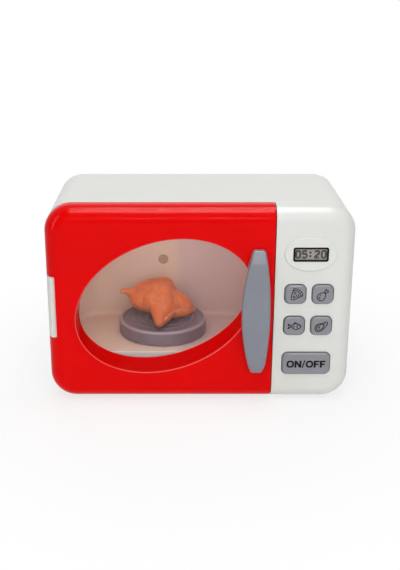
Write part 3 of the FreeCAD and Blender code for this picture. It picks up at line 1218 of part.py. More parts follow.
def battery_box_screws():
    seat = COVER_FRONT - BATTERY_TAB_THICK
    return Part.makeCompound([screw(point(x, seat, height), Vector(0, 1, 0), SHORT_SCREW_LENGTH)
                              for x, height in battery_screw_places()])


def cell_columns():
    return [BATTERY_X + (cell - (CELL_COUNT - 1) / 2) * CELL_PITCH for cell in range(CELL_COUNT)]


def batteries():
    """Upright cells, every other one turned over."""
    cells = []
    low = CELL_ROOM_LOW + CONTACT_ROOM
    for place, x in enumerate(cell_columns()):
        if place % 2 == 0:
            can = rod_up(x, CELL_DEPTH, CELL_RADIUS, low, low + CELL_LENGTH)
            nub = rod_up(x, CELL_DEPTH, CELL_NUB_RADIUS, low + CELL_LENGTH, low + CELL_LENGTH + CELL_NUB)
        else:
            can = rod_up(x, CELL_DEPTH, CELL_RADIUS, low + CELL_NUB, low + CELL_NUB + CELL_LENGTH)
            nub = rod_up(x, CELL_DEPTH, CELL_NUB_RADIUS, low, low + CELL_NUB)
        cells.append(can.fuse(nub))
    return Part.makeCompound(cells)


def battery_contacts():
    """A bent leaf at each end of each cell, flat on the box's end wall and folded towards the cell."""
    contacts = []
    for x in cell_columns():
        for wall, inward in ((CELL_ROOM_LOW, 1), (CELL_ROOM_HIGH, -1)):
            rise = inward * CONTACT_THICK
            lift = inward * (CONTACT_ROOM - PAD_GAP)
            near = CELL_DEPTH - CONTACT_WIDTH / 2
            far = CELL_DEPTH + CONTACT_WIDTH / 2
            spots = [(near, wall), (far, wall), (far, wall + rise), (near + CONTACT_LEAF, wall + rise),
                     (far - CONTACT_LEAF, wall + lift), (far - 3 * CONTACT_LEAF, wall + lift),
                     (near, wall + rise)]
            contacts.append(flat_prism(spots, x - CONTACT_WIDTH / 2, x + CONTACT_WIDTH / 2))
    return Part.makeCompound(contacts)


def speaker_basket():
    """The speaker's frame and magnet, glued behind the slots."""
    flange_front = COVER_FRONT - SPEAKER_FLANGE
    basket_front = flange_front - SPEAKER_BASKET
    flange = rod_back(SPEAKER_X, SPEAKER_HEIGHT, SPEAKER_RADIUS, flange_front, COVER_FRONT)
    basket = cone_back(SPEAKER_X, SPEAKER_HEIGHT, SPEAKER_MAGNET_RADIUS, CONE_RADIUS + CONE_SKIN, basket_front,
                       flange_front)
    magnet = rod_back(SPEAKER_X, SPEAKER_HEIGHT, SPEAKER_MAGNET_RADIUS, basket_front - SPEAKER_MAGNET,
                      basket_front)
    bowl = cone_back(SPEAKER_X, SPEAKER_HEIGHT, CONE_THROAT, CONE_RADIUS, COVER_FRONT - CONE_DEEP, COVER_FRONT)
    return flange.fuse([basket, magnet]).cut(bowl).removeSplitter()


def speaker_cone():
    """The paper cone, a thin bowl just inside the basket."""
    front = COVER_FRONT - CONE_DEEP
    outside = cone_back(SPEAKER_X, SPEAKER_HEIGHT, CONE_THROAT - CONE_GAP, CONE_RADIUS - CONE_GAP,
                        front, COVER_FRONT)
    inside = cone_back(SPEAKER_X, SPEAKER_HEIGHT, CONE_THROAT - CONE_GAP, CONE_RADIUS - CONE_GAP,
                       front + CONE_SKIN, COVER_FRONT + CONE_SKIN)
    return outside.cut(inside)


def wiring_leads():
    """The leads from the board's back to the motor, the cells, the speaker and the oven lamp."""
    board = BOARD_FRONT + BOARD_THICK
    motor_side = MOTOR_X + MOTOR_RADIUS + TERMINAL_PROUD
    motor_height = WALL + MOTOR_FLOOR_GAP + TERMINAL_TALL / 2
    magnet = COVER_FRONT - SPEAKER_FLANGE - SPEAKER_BASKET - SPEAKER_MAGNET
    lamp = lens_flange_back() + LAMP_BOARD_THICK
    lamp_side = OVEN_X + LENS_RADIUS + LENS_FLANGE
    lamp_depth = lamp - LAMP_BOARD_THICK / 2
    panel = CONTROL_X
    routes = [
        [(motor_side, TURN_DEPTH, motor_height), (motor_side + 15, TURN_DEPTH, motor_height),
         (panel - 19, 58, 10), (panel - 11, 42, 14), (panel - 8, 28, 22), (panel - 8, board, 22)],
        [(BATTERY_X, CELL_ROOM_FRONT - BATTERY_WALL, 48), (BATTERY_X, 66, 48), (panel - 1, 42, 52),
         (panel - 3, 26, 55), (panel - 3, board, 55)],
        [(SPEAKER_X, magnet, SPEAKER_HEIGHT), (SPEAKER_X, 74, SPEAKER_HEIGHT), (panel, 46, 108),
         (panel + 1, 26, 104), (panel + 1, board, 104)],
        [(lamp_side, lamp_depth, LENS_HEIGHT), (lamp_side + 21, lamp_depth, LENS_HEIGHT),
         (CHAMBER_RIGHT - 10, lamp_depth, LENS_HEIGHT + 3), (CHAMBER_RIGHT + 14, lamp_depth - 10, 90),
         (panel - 11, lamp_depth - 36, 94), (panel - 7, 40, 90), (panel - 7, 26, 84), (panel - 7, board, 84)],
    ]
    return Part.makeCompound([lead(route) for route in routes])


NODES = {
    "outer_casing": outer_casing, "rubber_feet": rubber_feet, "button_pad": button_pad,
    "control_board": control_board, "board_screws": board_screws, "display_bezel": display_bezel,
    "display_screen": display_screen, "cavity_liner": cavity_liner, "liner_screws": liner_screws,
    "lamp_lens": lamp_lens, "lamp_board": lamp_board, "turntable": turntable,
    "turntable_spindle": turntable_spindle, "spindle_bush": spindle_bush, "turntable_gear": turntable_gear,
    "idler_gear": idler_gear, "idler_axle": idler_axle, "motor_pinion": motor_pinion,
    "motor_shaft": motor_shaft, "drive_motor": drive_motor, "gear_plate": gear_plate,
    "gear_plate_screws": gear_plate_screws, "toy_chicken": toy_chicken, "door_panel": door_panel,
    "door_back_frame": door_back_frame, "door_window": door_window, "door_screws": door_screws,
    "hinge_pins": hinge_pins, "door_handle": door_handle, "handle_screws": handle_screws,
    "latch_catch": latch_catch, "rear_cover": rear_cover,
    "rear_cover_screws": rear_cover_screws, "battery_cover": battery_cover,
    "battery_cover_screw": battery_cover_screw, "battery_box": battery_box,
    "battery_box_screws": battery_box_screws, "batteries": batteries, "battery_contacts": battery_contacts,
    "speaker_basket": speaker_basket, "speaker_cone": speaker_cone, "wiring_leads": wiring_leads,
}

os.makedirs("parts", exist_ok=True)
for node, make in NODES.items():
    make().exportStep("parts/" + node + ".step")
for node, place in BUTTON_PLACES.items():
    button(*place).exportStep("parts/" + node + ".step")
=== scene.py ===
"""Looks of a toy microwave: its finishes, prints, toy chicken and studio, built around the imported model."""
import math

import bmesh
import bpy
from mathutils import Matrix, Vector, noise


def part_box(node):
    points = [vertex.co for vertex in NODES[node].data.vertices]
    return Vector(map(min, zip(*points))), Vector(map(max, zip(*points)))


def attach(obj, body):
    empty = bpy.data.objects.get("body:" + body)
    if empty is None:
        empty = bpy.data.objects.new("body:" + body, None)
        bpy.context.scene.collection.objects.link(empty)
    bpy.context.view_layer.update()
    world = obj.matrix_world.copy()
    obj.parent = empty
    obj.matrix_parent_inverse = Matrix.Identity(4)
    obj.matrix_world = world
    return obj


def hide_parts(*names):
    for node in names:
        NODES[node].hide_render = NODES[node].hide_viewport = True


bl_info = {
    "name": "Toy microwave",
    "version": (1, 0, 0),
    "blender": (4, 5, 0),
    "location": "View3D > Sidebar > Toy microwave",
    "description": "Dresses the toy microwave with its finishes, prints, toy chicken and studio",
    "category": "Object",
}

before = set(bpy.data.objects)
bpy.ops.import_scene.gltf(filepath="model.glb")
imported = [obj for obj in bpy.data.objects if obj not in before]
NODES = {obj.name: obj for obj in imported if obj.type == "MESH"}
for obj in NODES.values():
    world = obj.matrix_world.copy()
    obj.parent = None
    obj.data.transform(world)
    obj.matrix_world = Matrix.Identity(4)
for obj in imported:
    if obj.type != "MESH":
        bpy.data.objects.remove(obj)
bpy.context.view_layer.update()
MM = 0.001

# Prints: width of a line's top as a share of its foot, and of a ring's line as a share of the others
STROKE_TOP = 0.86
RING_LINE = 0.8

# Food pictures on the four small caps, in millimetres from the cap's middle: right, up
PIZZA = {
    "turn": -38.0,
    "open_lines": [
        [(-4.0, 2.5), (0.0, -4.3), (4.0, 2.5)],
        [(-4.2, 2.7), (-2.2, 3.9), (0.0, 4.3), (2.2, 3.9), (4.2, 2.7)],
        [(-3.6, 1.5), (-1.9, 2.5), (0.0, 2.9), (1.9, 2.5), (3.6, 1.5)],
    ],
    "closed_lines": [],
    "rings": [(-1.3, 0.7, 0.75), (1.4, 0.4, 0.75), (0.05, -1.7, 0.65)],
    "dots": [],
}
DRUMSTICK = {
    "turn": -40.0,
    "open_lines": [
        [(-0.75, 1.7), (-0.65, 3.0), (-1.2, 3.6), (-0.9, 4.5), (0.0, 4.1), (0.9, 4.5), (1.2, 3.6),
         (0.65, 3.0), (0.75, 1.7)],
        [(-1.3, -2.6), (-0.5, -3.3), (0.5, -3.2)],
        [(-1.5, -1.0), (-0.9, -1.8)],
    ],
    "closed_lines": [
        [(0.0, -4.6), (1.9, -3.9), (2.6, -2.1), (2.1, -0.2), (1.1, 1.3), (0.0, 1.9), (-1.1, 1.3),
         (-2.1, -0.2), (-2.6, -2.1), (-1.9, -3.9)],
    ],
    "rings": [],
    "dots": [],
}
FISH = {
    "turn": 0.0,
    "open_lines": [
        [(-2.1, 0.2), (-4.5, 1.9), (-3.7, 0.0), (-4.5, -1.7), (-2.1, -0.1)],
        [(2.3, 1.5), (1.7, 0.1), (2.3, -1.4)],
        [(-0.7, 1.9), (0.5, 2.9), (1.9, 2.0)],
        [(-0.8, 0.5), (0.0, 0.0), (-0.8, -0.5)],
    ],
    "closed_lines": [
        [(-2.2, 0.0), (-0.6, 1.7), (1.4, 2.2), (3.4, 1.4), (4.6, 0.0), (3.4, -1.5), (1.4, -2.2),
         (-0.6, -1.6)],
    ],
    "rings": [],
    "dots": [(3.3, 0.5, 0.42)],
}
STEAK = {
    "turn": 6.0,
    "open_lines": [[(1.2, 1.4), (2.4, 1.7), (3.3, 1.8)]],
    "closed_lines": [
        [(-4.5, -1.1), (-3.8, 1.0), (-1.6, 2.1), (1.0, 2.4), (3.5, 3.1), (4.6, 2.2), (3.7, 0.6),
         (2.1, -1.2), (0.2, -2.9), (-2.3, -3.5), (-4.0, -2.8)],
        [(-3.5, -1.0), (-2.9, 0.5), (-1.2, 1.3), (0.8, 1.4), (1.8, 0.7), (1.2, -0.8), (-0.1, -2.0),
         (-2.0, -2.5), (-3.2, -2.0)],
    ],
    "rings": [(-1.7, -0.5, 0.6)],
    "dots": [],
}
PICTURES = {"pizza_button": PIZZA, "drumstick_button": DRUMSTICK, "fish_button": FISH, "steak_button": STEAK}

# Letters of the large cap, in shares of their height: width, and outline as right and up, none if round
LETTER_O = (1.0, None)
LETTER_N = (0.93, [(0.0, 0.0), (0.27, 0.0), (0.27, 0.56), (0.64, 0.0), (0.93, 0.0), (0.93, 1.0), (0.66, 1.0),
                   (0.66, 0.44), (0.29, 1.0), (0.0, 1.0)])
SLASH = (0.46, [(-0.02, -0.05), (0.15, -0.05), (0.46, 1.05), (0.29, 1.05)])
LETTER_F = (0.76, [(0.0, 0.0), (0.28, 0.0), (0.28, 0.38), (0.66, 0.38), (0.66, 0.59), (0.28, 0.59),
                   (0.28, 0.78), (0.76, 0.78), (0.76, 1.0), (0.0, 1.0)])
ON_OFF = (LETTER_O, LETTER_N, SLASH, LETTER_O, LETTER_F, LETTER_F)
LETTER_GAP = 0.06
ROUND_HALF_HEIGHT = 0.52
ROUND_STROKE = (0.24, 0.23)
ROUND_POWER = 2.35

# Digits of the display, in shares of their width and height: points as right and up, and whether they close
DIGIT_LINES = {
    "0": ([(0.0, 0.24), (0.2, 0.02), (0.8, 0.02), (1.0, 0.24), (1.0, 0.76), (0.8, 0.98), (0.2, 0.98),
           (0.0, 0.76)], True),
    "5": ([(0.95, 0.97), (0.1, 0.97), (0.05, 0.57), (0.6, 0.6), (0.97, 0.42), (0.97, 0.2), (0.65, 0.02),
           (0.2, 0.02), (0.0, 0.16)], False),
    "2": ([(0.03, 0.8), (0.22, 0.97), (0.75, 0.97), (0.97, 0.78), (0.9, 0.6), (0.15, 0.2), (0.03, 0.03),
           (0.97, 0.03)], False),
}

# Digits and colon: places in millimetres right of the card's middle, the colon's rise and size as shares
DIGIT_PLACES = (("0", -9.4), ("5", -4.5), ("2", 4.5), ("0", 9.4))
COLON_PLACE = -0.5
COLON_RISE = 0.26
COLON_SIZE = 0.52

# Cap openings in the panel, in millimetres: half width and half height, corner radius, reach and core of the
# painted shade in the seam
SMALL_OPENING = (8.2, 7.8)
LARGE_OPENING = (18.55, 9.25)
OPENING_CORNER = 4.6
SEAM_REACH = 0.2
SEAM_CORE = 0.08

# Door window: how far past the pane the walls of its tunnel reach, in metres, for their painted shade and
# edge highlight
TUNNEL_REACH = 0.006

# Oven's inside: between which places right of the middle the painted cooler, darker shade sets in, in metres
COOL_TURN = (0.007, 0.018)

# Turntable's painted rim highlight: between which depths inwards and downwards it fades, in metres
RIM_INWARD = (0.0028, 0.0012)
RIM_DOWNWARD = (0.0026, 0.0008)

# Cells: share of the height from which they are copper-coloured
CELL_BAND = 0.66
CELL_BAND_EDGE = 0.01

# Toy chicken: each limb is a run of balls, as shares of the plate's radius: right, back, up, radius
CHICKEN_LIMBS = (
    ("body", [(-0.18, -0.1, 0.44, 0.3), (-0.06, 0.14, 0.44, 0.36), (0.02, 0.4, 0.4, 0.34)]),
    ("breast", [(-0.26, 0.24, 0.49, 0.28), (-0.1, 0.4, 0.56, 0.25), (0.05, 0.5, 0.58, 0.21)]),
    ("left_thigh", [(-0.66, 0.12, 0.46, 0.13), (-0.5, 0.07, 0.41, 0.25), (-0.3, 0.0, 0.39, 0.28)]),
    ("left_back", [(-0.7, 0.16, 0.545, 0.09), (-0.48, 0.26, 0.555, 0.19), (-0.25, 0.36, 0.56, 0.25)]),
    ("left_shank", [(-0.94, 0.1, 0.6, 0.05), (-0.84, 0.11, 0.585, 0.072), (-0.7, 0.13, 0.54, 0.13)]),
    ("left_knob", [(-0.935, 0.12, 0.605, 0.055), (-0.935, 0.08, 0.595, 0.055)]),
    ("middle", [(-0.02, 0.2, 0.6, 0.2), (0.02, -0.1, 0.46, 0.25), (0.03, -0.4, 0.29, 0.2)]),
    ("right_thigh", [(0.16, 0.14, 0.36, 0.27), (0.34, 0.08, 0.33, 0.25), (0.5, 0.05, 0.26, 0.19)]),
    ("right_flank", [(0.12, 0.16, 0.5, 0.2), (0.2, -0.02, 0.36, 0.22), (0.24, -0.14, 0.24, 0.17)]),
    ("wing_upper", [(0.42, 0.0, 0.24, 0.16), (0.56, 0.06, 0.19, 0.14), (0.68, 0.1, 0.13, 0.09)]),
    ("wing_lower", [(0.68, 0.1, 0.13, 0.08), (0.5, -0.1, 0.14, 0.1), (0.26, -0.2, 0.18, 0.14)]),
    ("tail_flap", [(-0.1, -0.22, 0.36, 0.22), (-0.07, -0.48, 0.26, 0.18), (-0.06, -0.74, 0.15, 0.12)]),
    ("tail_side", [(0.1, -0.2, 0.28, 0.24), (0.08, -0.42, 0.2, 0.16), (-0.02, -0.68, 0.14, 0.1)]),
    ("underside", [(0.12, 0.08, 0.17, 0.18), (0.08, 0.24, 0.19, 0.2), (0.04, 0.42, 0.2, 0.21)]),
)
CHICKEN_SEAM = ((0.41, -0.14, 0.24), (0.26, -0.3, 0.24), (0.13, -0.45, 0.2), (0.04, -0.66, 0.16))
CHICKEN_SEAM_FACING = (0.0, 0.936, -0.352)
CHICKEN_SEAM_WIDTH = 0.0009
CHICKEN_PIMPLES = (-0.12, 0.02, 0.6)
PIMPLE_REACH = 0.62
PIMPLE_FADE = 0.2
LIMB_STEPS = 8

# Wrinkles of the chicken's skin: how dense the folds and the fine ones are, and their shares of the depth
FOLD_SCALE = (5.0, 5.0, 9.0)
FOLD_SHARE = 0.8
FINE_SCALE = 16.0
FINE_SHARE = 0.35
# Height over which painted shade darkens the chicken's underside, in metres
UNDERSIDE_SHADE = 0.012

# Moulded finishes: colour or the name of its setting, roughness, peel size, peel depth in micrometres,
# flow tone, paler edges (rubbed wear; on the red door a painted highlight), their reach in millimetres,
# handling marks, dust, specular level, flow size
MOULDED = {
    "casing_white": ("white", 0.27, 120.0, 0.4, 0.025, 0.05, 0.6, 0.0, 0.006, 0.062, 22.0),
    "cover_white": ("white", 0.27, 120.0, 0.4, 0.025, 0.05, 0.6, 0.0, 0.006, 0.062, 22.0),
    # The two red door finishes: their paler edges are a painted highlight along the edges
    "door_red": ("red", 0.13, 190.0, 1.2, 0.05, 0.2, 0.5, 0.02, 0.0, 0.06, 22.0),
    "door_back_red": ("red", 0.13, 190.0, 1.2, 0.05, 0.2, 0.5, 0.02, 0.0, 0.06, 22.0),
    "handle_grey": ("handle", 0.34, 900.0, 6.0, 0.06, 0.25, 0.8, 0.03, 0.02, 0.15, 22.0),
    "button_grey": ("button", 0.38, 1100.0, 6.0, 0.06, 0.35, 0.8, 0.03, 0.02, 0.27, 22.0),
    "oven_beige": ("liner", 0.46, 700.0, 5.0, 0.07, 0.1, 0.6, 0.1, 0.06, 0.5, 30.0),
    "turntable_grey": ("turntable", 0.33, 900.0, 20.0, 0.08, 0.45, 0.9, 0.05, 0.03, 0.5, 22.0),
    "lens_milky": ((0.5, 0.33, 0.21), 0.3, 500.0, 20.0, 0.1, 0.2, 0.6, 0.08, 0.02, 0.5, 22.0),
    "bezel_black": ((0.013, 0.013, 0.014), 0.24, 500.0, 20.0, 0.15, 0.12, 0.3, 0.05, 0.01, 0.12, 22.0),
    "printed_ink": ("ink", 0.42, 1500.0, 10.0, 0.35, 0.02, 0.1, 0.1, 0.0, 0.08, 300.0),
    "digit_core_grey": ("display", 0.4, 1500.0, 10.0, 0.12, 0.0, 0.6, 0.1, 0.0, 0.5, 200.0),
    "digit_dark": ((0.016, 0.015, 0.014), 0.4, 1500.0, 10.0, 0.25, 0.0, 0.6, 0.1, 0.0, 0.08, 200.0),
    "display_card": ("display", 0.3, 1200.0, 10.0, 0.08, 0.0, 0.6, 0.05, 0.0, 0.5, 22.0),
    "foot_rubber": ((0.028, 0.028, 0.03), 0.75, 1400.0, 60.0, 0.3, 0.2, 0.6, 0.1, 0.25, 0.5, 22.0),
    "pad_silicone": ((0.33, 0.33, 0.34), 0.6, 1000.0, 30.0, 0.12, 0.1, 0.6, 0.1, 0.1, 0.5, 22.0),
    "drive_acetal": ((0.78, 0.76, 0.67), 0.42, 1200.0, 20.0, 0.06, 0.1, 0.3, 0.1, 0.05, 0.5, 22.0),
    "inner_dark": ((0.045, 0.045, 0.05), 0.5, 900.0, 50.0, 0.2, 0.2, 0.6, 0.1, 0.15, 0.5, 22.0),
    "speaker_black": ((0.03, 0.03, 0.032), 0.45, 1200.0, 30.0, 0.2, 0.3, 0.6, 0.1, 0.12, 0.5, 22.0),
    "speaker_cone_paper": ((0.022, 0.021, 0.02), 0.85, 1900.0, 80.0, 0.35, 0.1, 0.6, 0.05, 0.2, 0.25, 22.0),
    "lead_vinyl": ((0.4, 0.02, 0.02), 0.4, 1500.0, 20.0, 0.12, 0.05, 0.6, 0.1, 0.1, 0.5, 22.0),
    "board_green": ((0.012, 0.11, 0.04), 0.32, 1200.0, 20.0, 0.15, 0.2, 0.6, 0.08, 0.12, 0.5, 22.0),
    "cell_band": ((0.03, 0.035, 0.05), 0.28, 900.0, 10.0, 0.15, 0.3, 0.6, 0.1, 0.08, 0.5, 22.0),
}
MICROMETRE = 0.000001
# Paler edges (rubbed wear, and on the red door a painted highlight): share of the finish's colour and lift
# towards white
PALE_EDGE_SHARE = 0.6
PALE_EDGE_LIFT = 0.38

# Plated finishes: colour, roughness, stretch of the drawn lines
PLATED = {
    "screw_zinc": ((0.56, 0.56, 0.58), 0.34, (1.0, 0.08, 1.0)),
    "contact_brass": ((0.68, 0.5, 0.2), 0.3, (1.0, 1.0, 0.1)),
}

# Colours of small details in the finishes
DUST = (0.62, 0.6, 0.57, 1.0)
# Painted shade in the seams round the caps
SEAM_SHADE = (0.03, 0.03, 0.032, 1.0)
# Painted highlight on the round edge into the door's window
TUNNEL_HIGHLIGHT = (0.86, 0.3, 0.27, 1.0)
RING_SHADE = (0.05, 0.036, 0.042, 1.0)
# Painted highlight along the turntable's rim
RIM_HIGHLIGHT = (0.55, 0.5, 0.53, 1.0)
PANE_HAZE = (0.85, 0.84, 0.83, 1.0)
COPPER_RUNS = (0.05, 0.27, 0.1, 1.0)
CELL_COPPER = (0.5, 0.27, 0.11, 1.0)
# Painted highlight on the chicken's rounded tops
SKIN_LIT = (0.8, 0.33, 0.15, 1.0)
SKIN_PIMPLE = (0.3, 0.07, 0.025, 1.0)
SKIN_SEAM = (0.9, 0.62, 0.46, 1.0)
FLOOR_TONES = ((0.97, 0.97, 0.97, 1.0), (0.985, 0.985, 0.985, 1.0))
WHITE = (1.0, 1.0, 1.0, 1.0)

# Inner works: each plastic and the nodes that are made of it, and the nodes of plated steel
WORKS_PLASTICS = {
    "drive_acetal": ("turntable_spindle", "turntable_gear", "idler_gear", "motor_pinion", "spindle_bush"),
    "inner_dark": ("gear_plate", "battery_box"),
    "pad_silicone": ("button_pad",),
    "speaker_black": ("speaker_basket",),
    "speaker_cone_paper": ("speaker_cone",),
    "lead_vinyl": ("wiring_leads",),
}
WORKS_STEEL = ("board_screws", "liner_screws", "gear_plate_screws", "door_screws", "handle_screws",
               "rear_cover_screws", "battery_cover_screw", "battery_box_screws", "hinge_pins", "idler_axle",
               "motor_shaft", "drive_motor", "latch_catch")

# Studio lamps: name, place, point it looks at, size, setting of its power, whether it lights matt faces,
# whether it shines in glossy ones
LAMPS = (
    ("overhead_lamp", (0.0, -0.32, 0.9), (0.0, -0.32, 0.0), (0.45, 1.1), "overhead", True, False),
    ("band_card", (0.03, -0.07, 0.9), (0.03, -0.07, 0.0), (0.45, 0.62), "band", False, True),
    ("strip_card", (0.2, -1.2, 0.72), (0.0, 0.0, 0.12), (0.9, 0.03), "strip", False, True),
    ("front_lamp", (0.0, -1.6, 0.7), (0.0, 0.0, 0.08), (1.6, 1.2), "front", True, False),
    ("back_lamp", (0.0, 1.6, 0.7), (0.0, 0.0, 0.08), (1.6, 1.2), "back", True, False),
    ("side_card", (-0.9, -0.5, 0.45), (0.0, 0.0, 0.08), (0.3, 0.8), "side", False, True),
)

# Oven lamp: place and target from the middle of the plate's top, and its size, in metres
OVEN_LAMP_PLACE = (0.0, -0.038, 0.083)
OVEN_LAMP_TARGET = (0.0, 0.02, 0.0)
OVEN_LAMP_SIZE = (0.12, 0.02)

# Floor and camera
FLOOR_DROP = 0.0001
FLOOR_GLOW = 0.72
SENSOR_WIDTH = 36.0


class MicrowaveColours(bpy.types.PropertyGroup):
    """Colours of the finishes."""
    white: bpy.props.FloatVectorProperty(
        name="Casing white", description="Colour of the casing and its rear cover", subtype="COLOR", size=3,
        min=0.0, max=1.0, default=(0.76, 0.77, 0.735))
    red: bpy.props.FloatVectorProperty(
        name="Door red", description="Colour of the swing door", subtype="COLOR", size=3,
        min=0.0, max=1.0, default=(0.77, 0.001, 0.0012))
    handle: bpy.props.FloatVectorProperty(
        name="Handle grey", description="Colour of the bow handle", subtype="COLOR", size=3,
        min=0.0, max=1.0, default=(0.248, 0.262, 0.302))
    button: bpy.props.FloatVectorProperty(
        name="Button grey", description="Colour of the push buttons", subtype="COLOR", size=3,
        min=0.0, max=1.0, default=(0.268, 0.273, 0.298))
    liner: bpy.props.FloatVectorProperty(
        name="Oven beige", description="Colour of the oven's inside", subtype="COLOR", size=3,
        min=0.0, max=1.0, default=(0.79, 0.595, 0.48))
    turntable: bpy.props.FloatVectorProperty(
        name="Turntable grey", description="Colour of the turntable", subtype="COLOR", size=3,
        min=0.0, max=1.0, default=(0.215, 0.158, 0.195))
    chicken: bpy.props.FloatVectorProperty(
        name="Chicken brown", description="Colour of the toy chicken's skin", subtype="COLOR", size=3,
        min=0.0, max=1.0, default=(0.75, 0.2, 0.055))
    display: bpy.props.FloatVectorProperty(
        name="Display grey", description="Colour of the display's card", subtype="COLOR", size=3,
        min=0.0, max=1.0, default=(0.32, 0.29, 0.26))
    ink: bpy.props.FloatVectorProperty(
        name="Print black", description="Colour of the printed pictures and letters",
        subtype="COLOR", size=3, min=0.0, max=1.0, default=(0.012, 0.012, 0.013))


class MicrowavePrints(bpy.types.PropertyGroup):
    """Sizes of the printed pictures, letters and digits."""
    ink_height: bpy.props.FloatProperty(
        name="Ink height", description="How far a print stands off its cap",
        unit="LENGTH", subtype="DISTANCE", min=0.0, default=0.00005)
    picture_line: bpy.props.FloatProperty(
        name="Picture line", description="Width of the lines of the food pictures",
        unit="LENGTH", subtype="DISTANCE", min=0.0, default=0.00072)
    picture_scale: bpy.props.FloatProperty(
        name="Picture scale", description="Size of the food pictures against their drawn size",
        min=0.1, default=1.08)
    letter_height: bpy.props.FloatProperty(
        name="Letter height", description="Height of the letters on the large button", unit="LENGTH",
        subtype="DISTANCE", min=0.0, default=0.0057)
    digit_width: bpy.props.FloatProperty(
        name="Digit width", description="Width of one display digit, line to line",
        unit="LENGTH", subtype="DISTANCE", min=0.0, default=0.0029)
    digit_height: bpy.props.FloatProperty(
        name="Digit height", description="Height of one display digit, line to line", unit="LENGTH",
        subtype="DISTANCE", min=0.0, default=0.0052)
    digit_line: bpy.props.FloatProperty(
        name="Digit line", description="Width of a digit's dark line", unit="LENGTH", subtype="DISTANCE",
        min=0.0, default=0.0015)
    digit_core: bpy.props.FloatProperty(
        name="Digit core", description="Width of the pale core in a digit's line",
        unit="LENGTH", subtype="DISTANCE", min=0.0, default=0.00026)


class MicrowaveChicken(bpy.types.PropertyGroup):
    """Making of the toy chicken."""
    voxel: bpy.props.FloatProperty(
        name="Mesh size", description="Size of the skin's mesh", unit="LENGTH", subtype="DISTANCE",
        min=0.0002, default=0.00062)
    smoothing: bpy.props.IntProperty(
        name="Smoothing", description="How often the skin is smoothed", min=0, default=11)
    wrinkle: bpy.props.FloatProperty(
        name="Wrinkle depth", description="Depth of the skin's soft wrinkles",
        unit="LENGTH", subtype="DISTANCE", min=0.0, default=0.00026)


class MicrowaveStudio(bpy.types.PropertyGroup):
    """Camera, lamps and floor."""
    camera_place: bpy.props.FloatVectorProperty(
        name="Camera place", description="Where the camera stands",
        subtype="TRANSLATION", unit="LENGTH", size=3, default=(-0.01366, -0.6965, 0.3264))
    camera_pitch: bpy.props.FloatProperty(
        name="Camera pitch", description="How far the camera looks down", subtype="ANGLE", unit="ROTATION",
        default=math.radians(19.62))
    lens: bpy.props.FloatProperty(
        name="Lens", description="Focal length in millimetres", min=1.0, default=58.37)
    shift_right: bpy.props.FloatProperty(
        name="Shift right", description="Sideways shift of the picture", default=0.0327)
    floor_size: bpy.props.FloatProperty(
        name="Floor size", description="Side of the square floor", unit="LENGTH", subtype="DISTANCE",
        min=0.1, default=4.0)
    ambient: bpy.props.FloatProperty(
        name="Ambient", description="Strength of the light from all round", min=0.0, default=0.37)
    overhead: bpy.props.FloatProperty(
        name="Overhead lamp", description="Power of the long lamp above, in watts", min=0.0, default=4.0)
    band: bpy.props.FloatProperty(
        name="Band card", description="Power of the card above that only shines in glossy faces, in watts",
        min=0.0, default=35.0)
    front: bpy.props.FloatProperty(
        name="Front lamp", description="Power of the wide lamp in front, in watts", min=0.0, default=9.5)
    side: bpy.props.FloatProperty(
        name="Side card",
        description="Power of the card at the left that only shines in glossy faces, in watts",
        min=0.0, default=4.0)
    strip: bpy.props.FloatProperty(
        name="Strip card",
        description="Power of the thin card in front that only shines in glossy faces, in watts",
        min=0.0, default=2.4)
    back: bpy.props.FloatProperty(
        name="Back lamp", description="Power of the wide lamp behind, in watts", min=0.0, default=6.0)
    oven: bpy.props.FloatProperty(
        name="Oven lamp", description="Power of the small lamp under the oven's roof, in watts",
        min=0.0, default=0.03)
    floor_near: bpy.props.FloatProperty(
        name="Shaded floor", description="Radius within which the floor keeps the part's shadow",
        unit="LENGTH", subtype="DISTANCE", min=0.0, default=0.11)
    floor_far: bpy.props.FloatProperty(
        name="White floor", description="Radius from which the floor is plain white", unit="LENGTH",
        subtype="DISTANCE", min=0.0, default=0.3)


class MicrowaveSettings(bpy.types.PropertyGroup):
    """All sizes and colours that a user would change."""
    colours: bpy.props.PointerProperty(
        type=MicrowaveColours, name="Colours", description="Colours of the finishes")
    prints: bpy.props.PointerProperty(
        type=MicrowavePrints, name="Prints", description="Sizes of the prints")
    chicken: bpy.props.PointerProperty(
        type=MicrowaveChicken, name="Chicken", description="Making of the chicken")
    studio: bpy.props.PointerProperty(
        type=MicrowaveStudio, name="Studio", description="Camera, lamps and floor")


def settings():
    """The scene's sizes and colours."""
    return bpy.context.scene.toy_microwave


def middle_of(node):
    """Middle of a CAD node's box."""
    low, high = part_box(node)
    return (low + high) / 2


# Shader building blocks
def add_node(tree, kind, options=None, values=None):
    """A new node with its options set and its inputs set or linked."""
    node = tree.nodes.new(kind)
    for key, value in (options or {}).items():
        setattr(node, key, value)
    for key, value in (values or {}).items():
        if isinstance(value, bpy.types.NodeSocket):
            tree.links.new(value, node.inputs[key])
        else:
            node.inputs[key].default_value = value
    return node


def calculate(tree, operation, *values):
    """Output of a Math node."""
    return add_node(tree, "ShaderNodeMath", {"operation": operation}, dict(enumerate(values))).outputs[0]


def times(tree, first, second):
    """Product of two numbers."""
    return calculate(tree, "MULTIPLY", first, second)


def vector_math(tree, operation, *values, output="Vector"):
    """Output of a Vector Math node."""
    node = add_node(tree, "ShaderNodeVectorMath", {"operation": operation}, dict(enumerate(values)))
    return node.outputs[output]


def split(tree, vector):
    """The X, Y and Z of a vector."""
    return add_node(tree, "ShaderNodeSeparateXYZ", None, {0: vector}).outputs


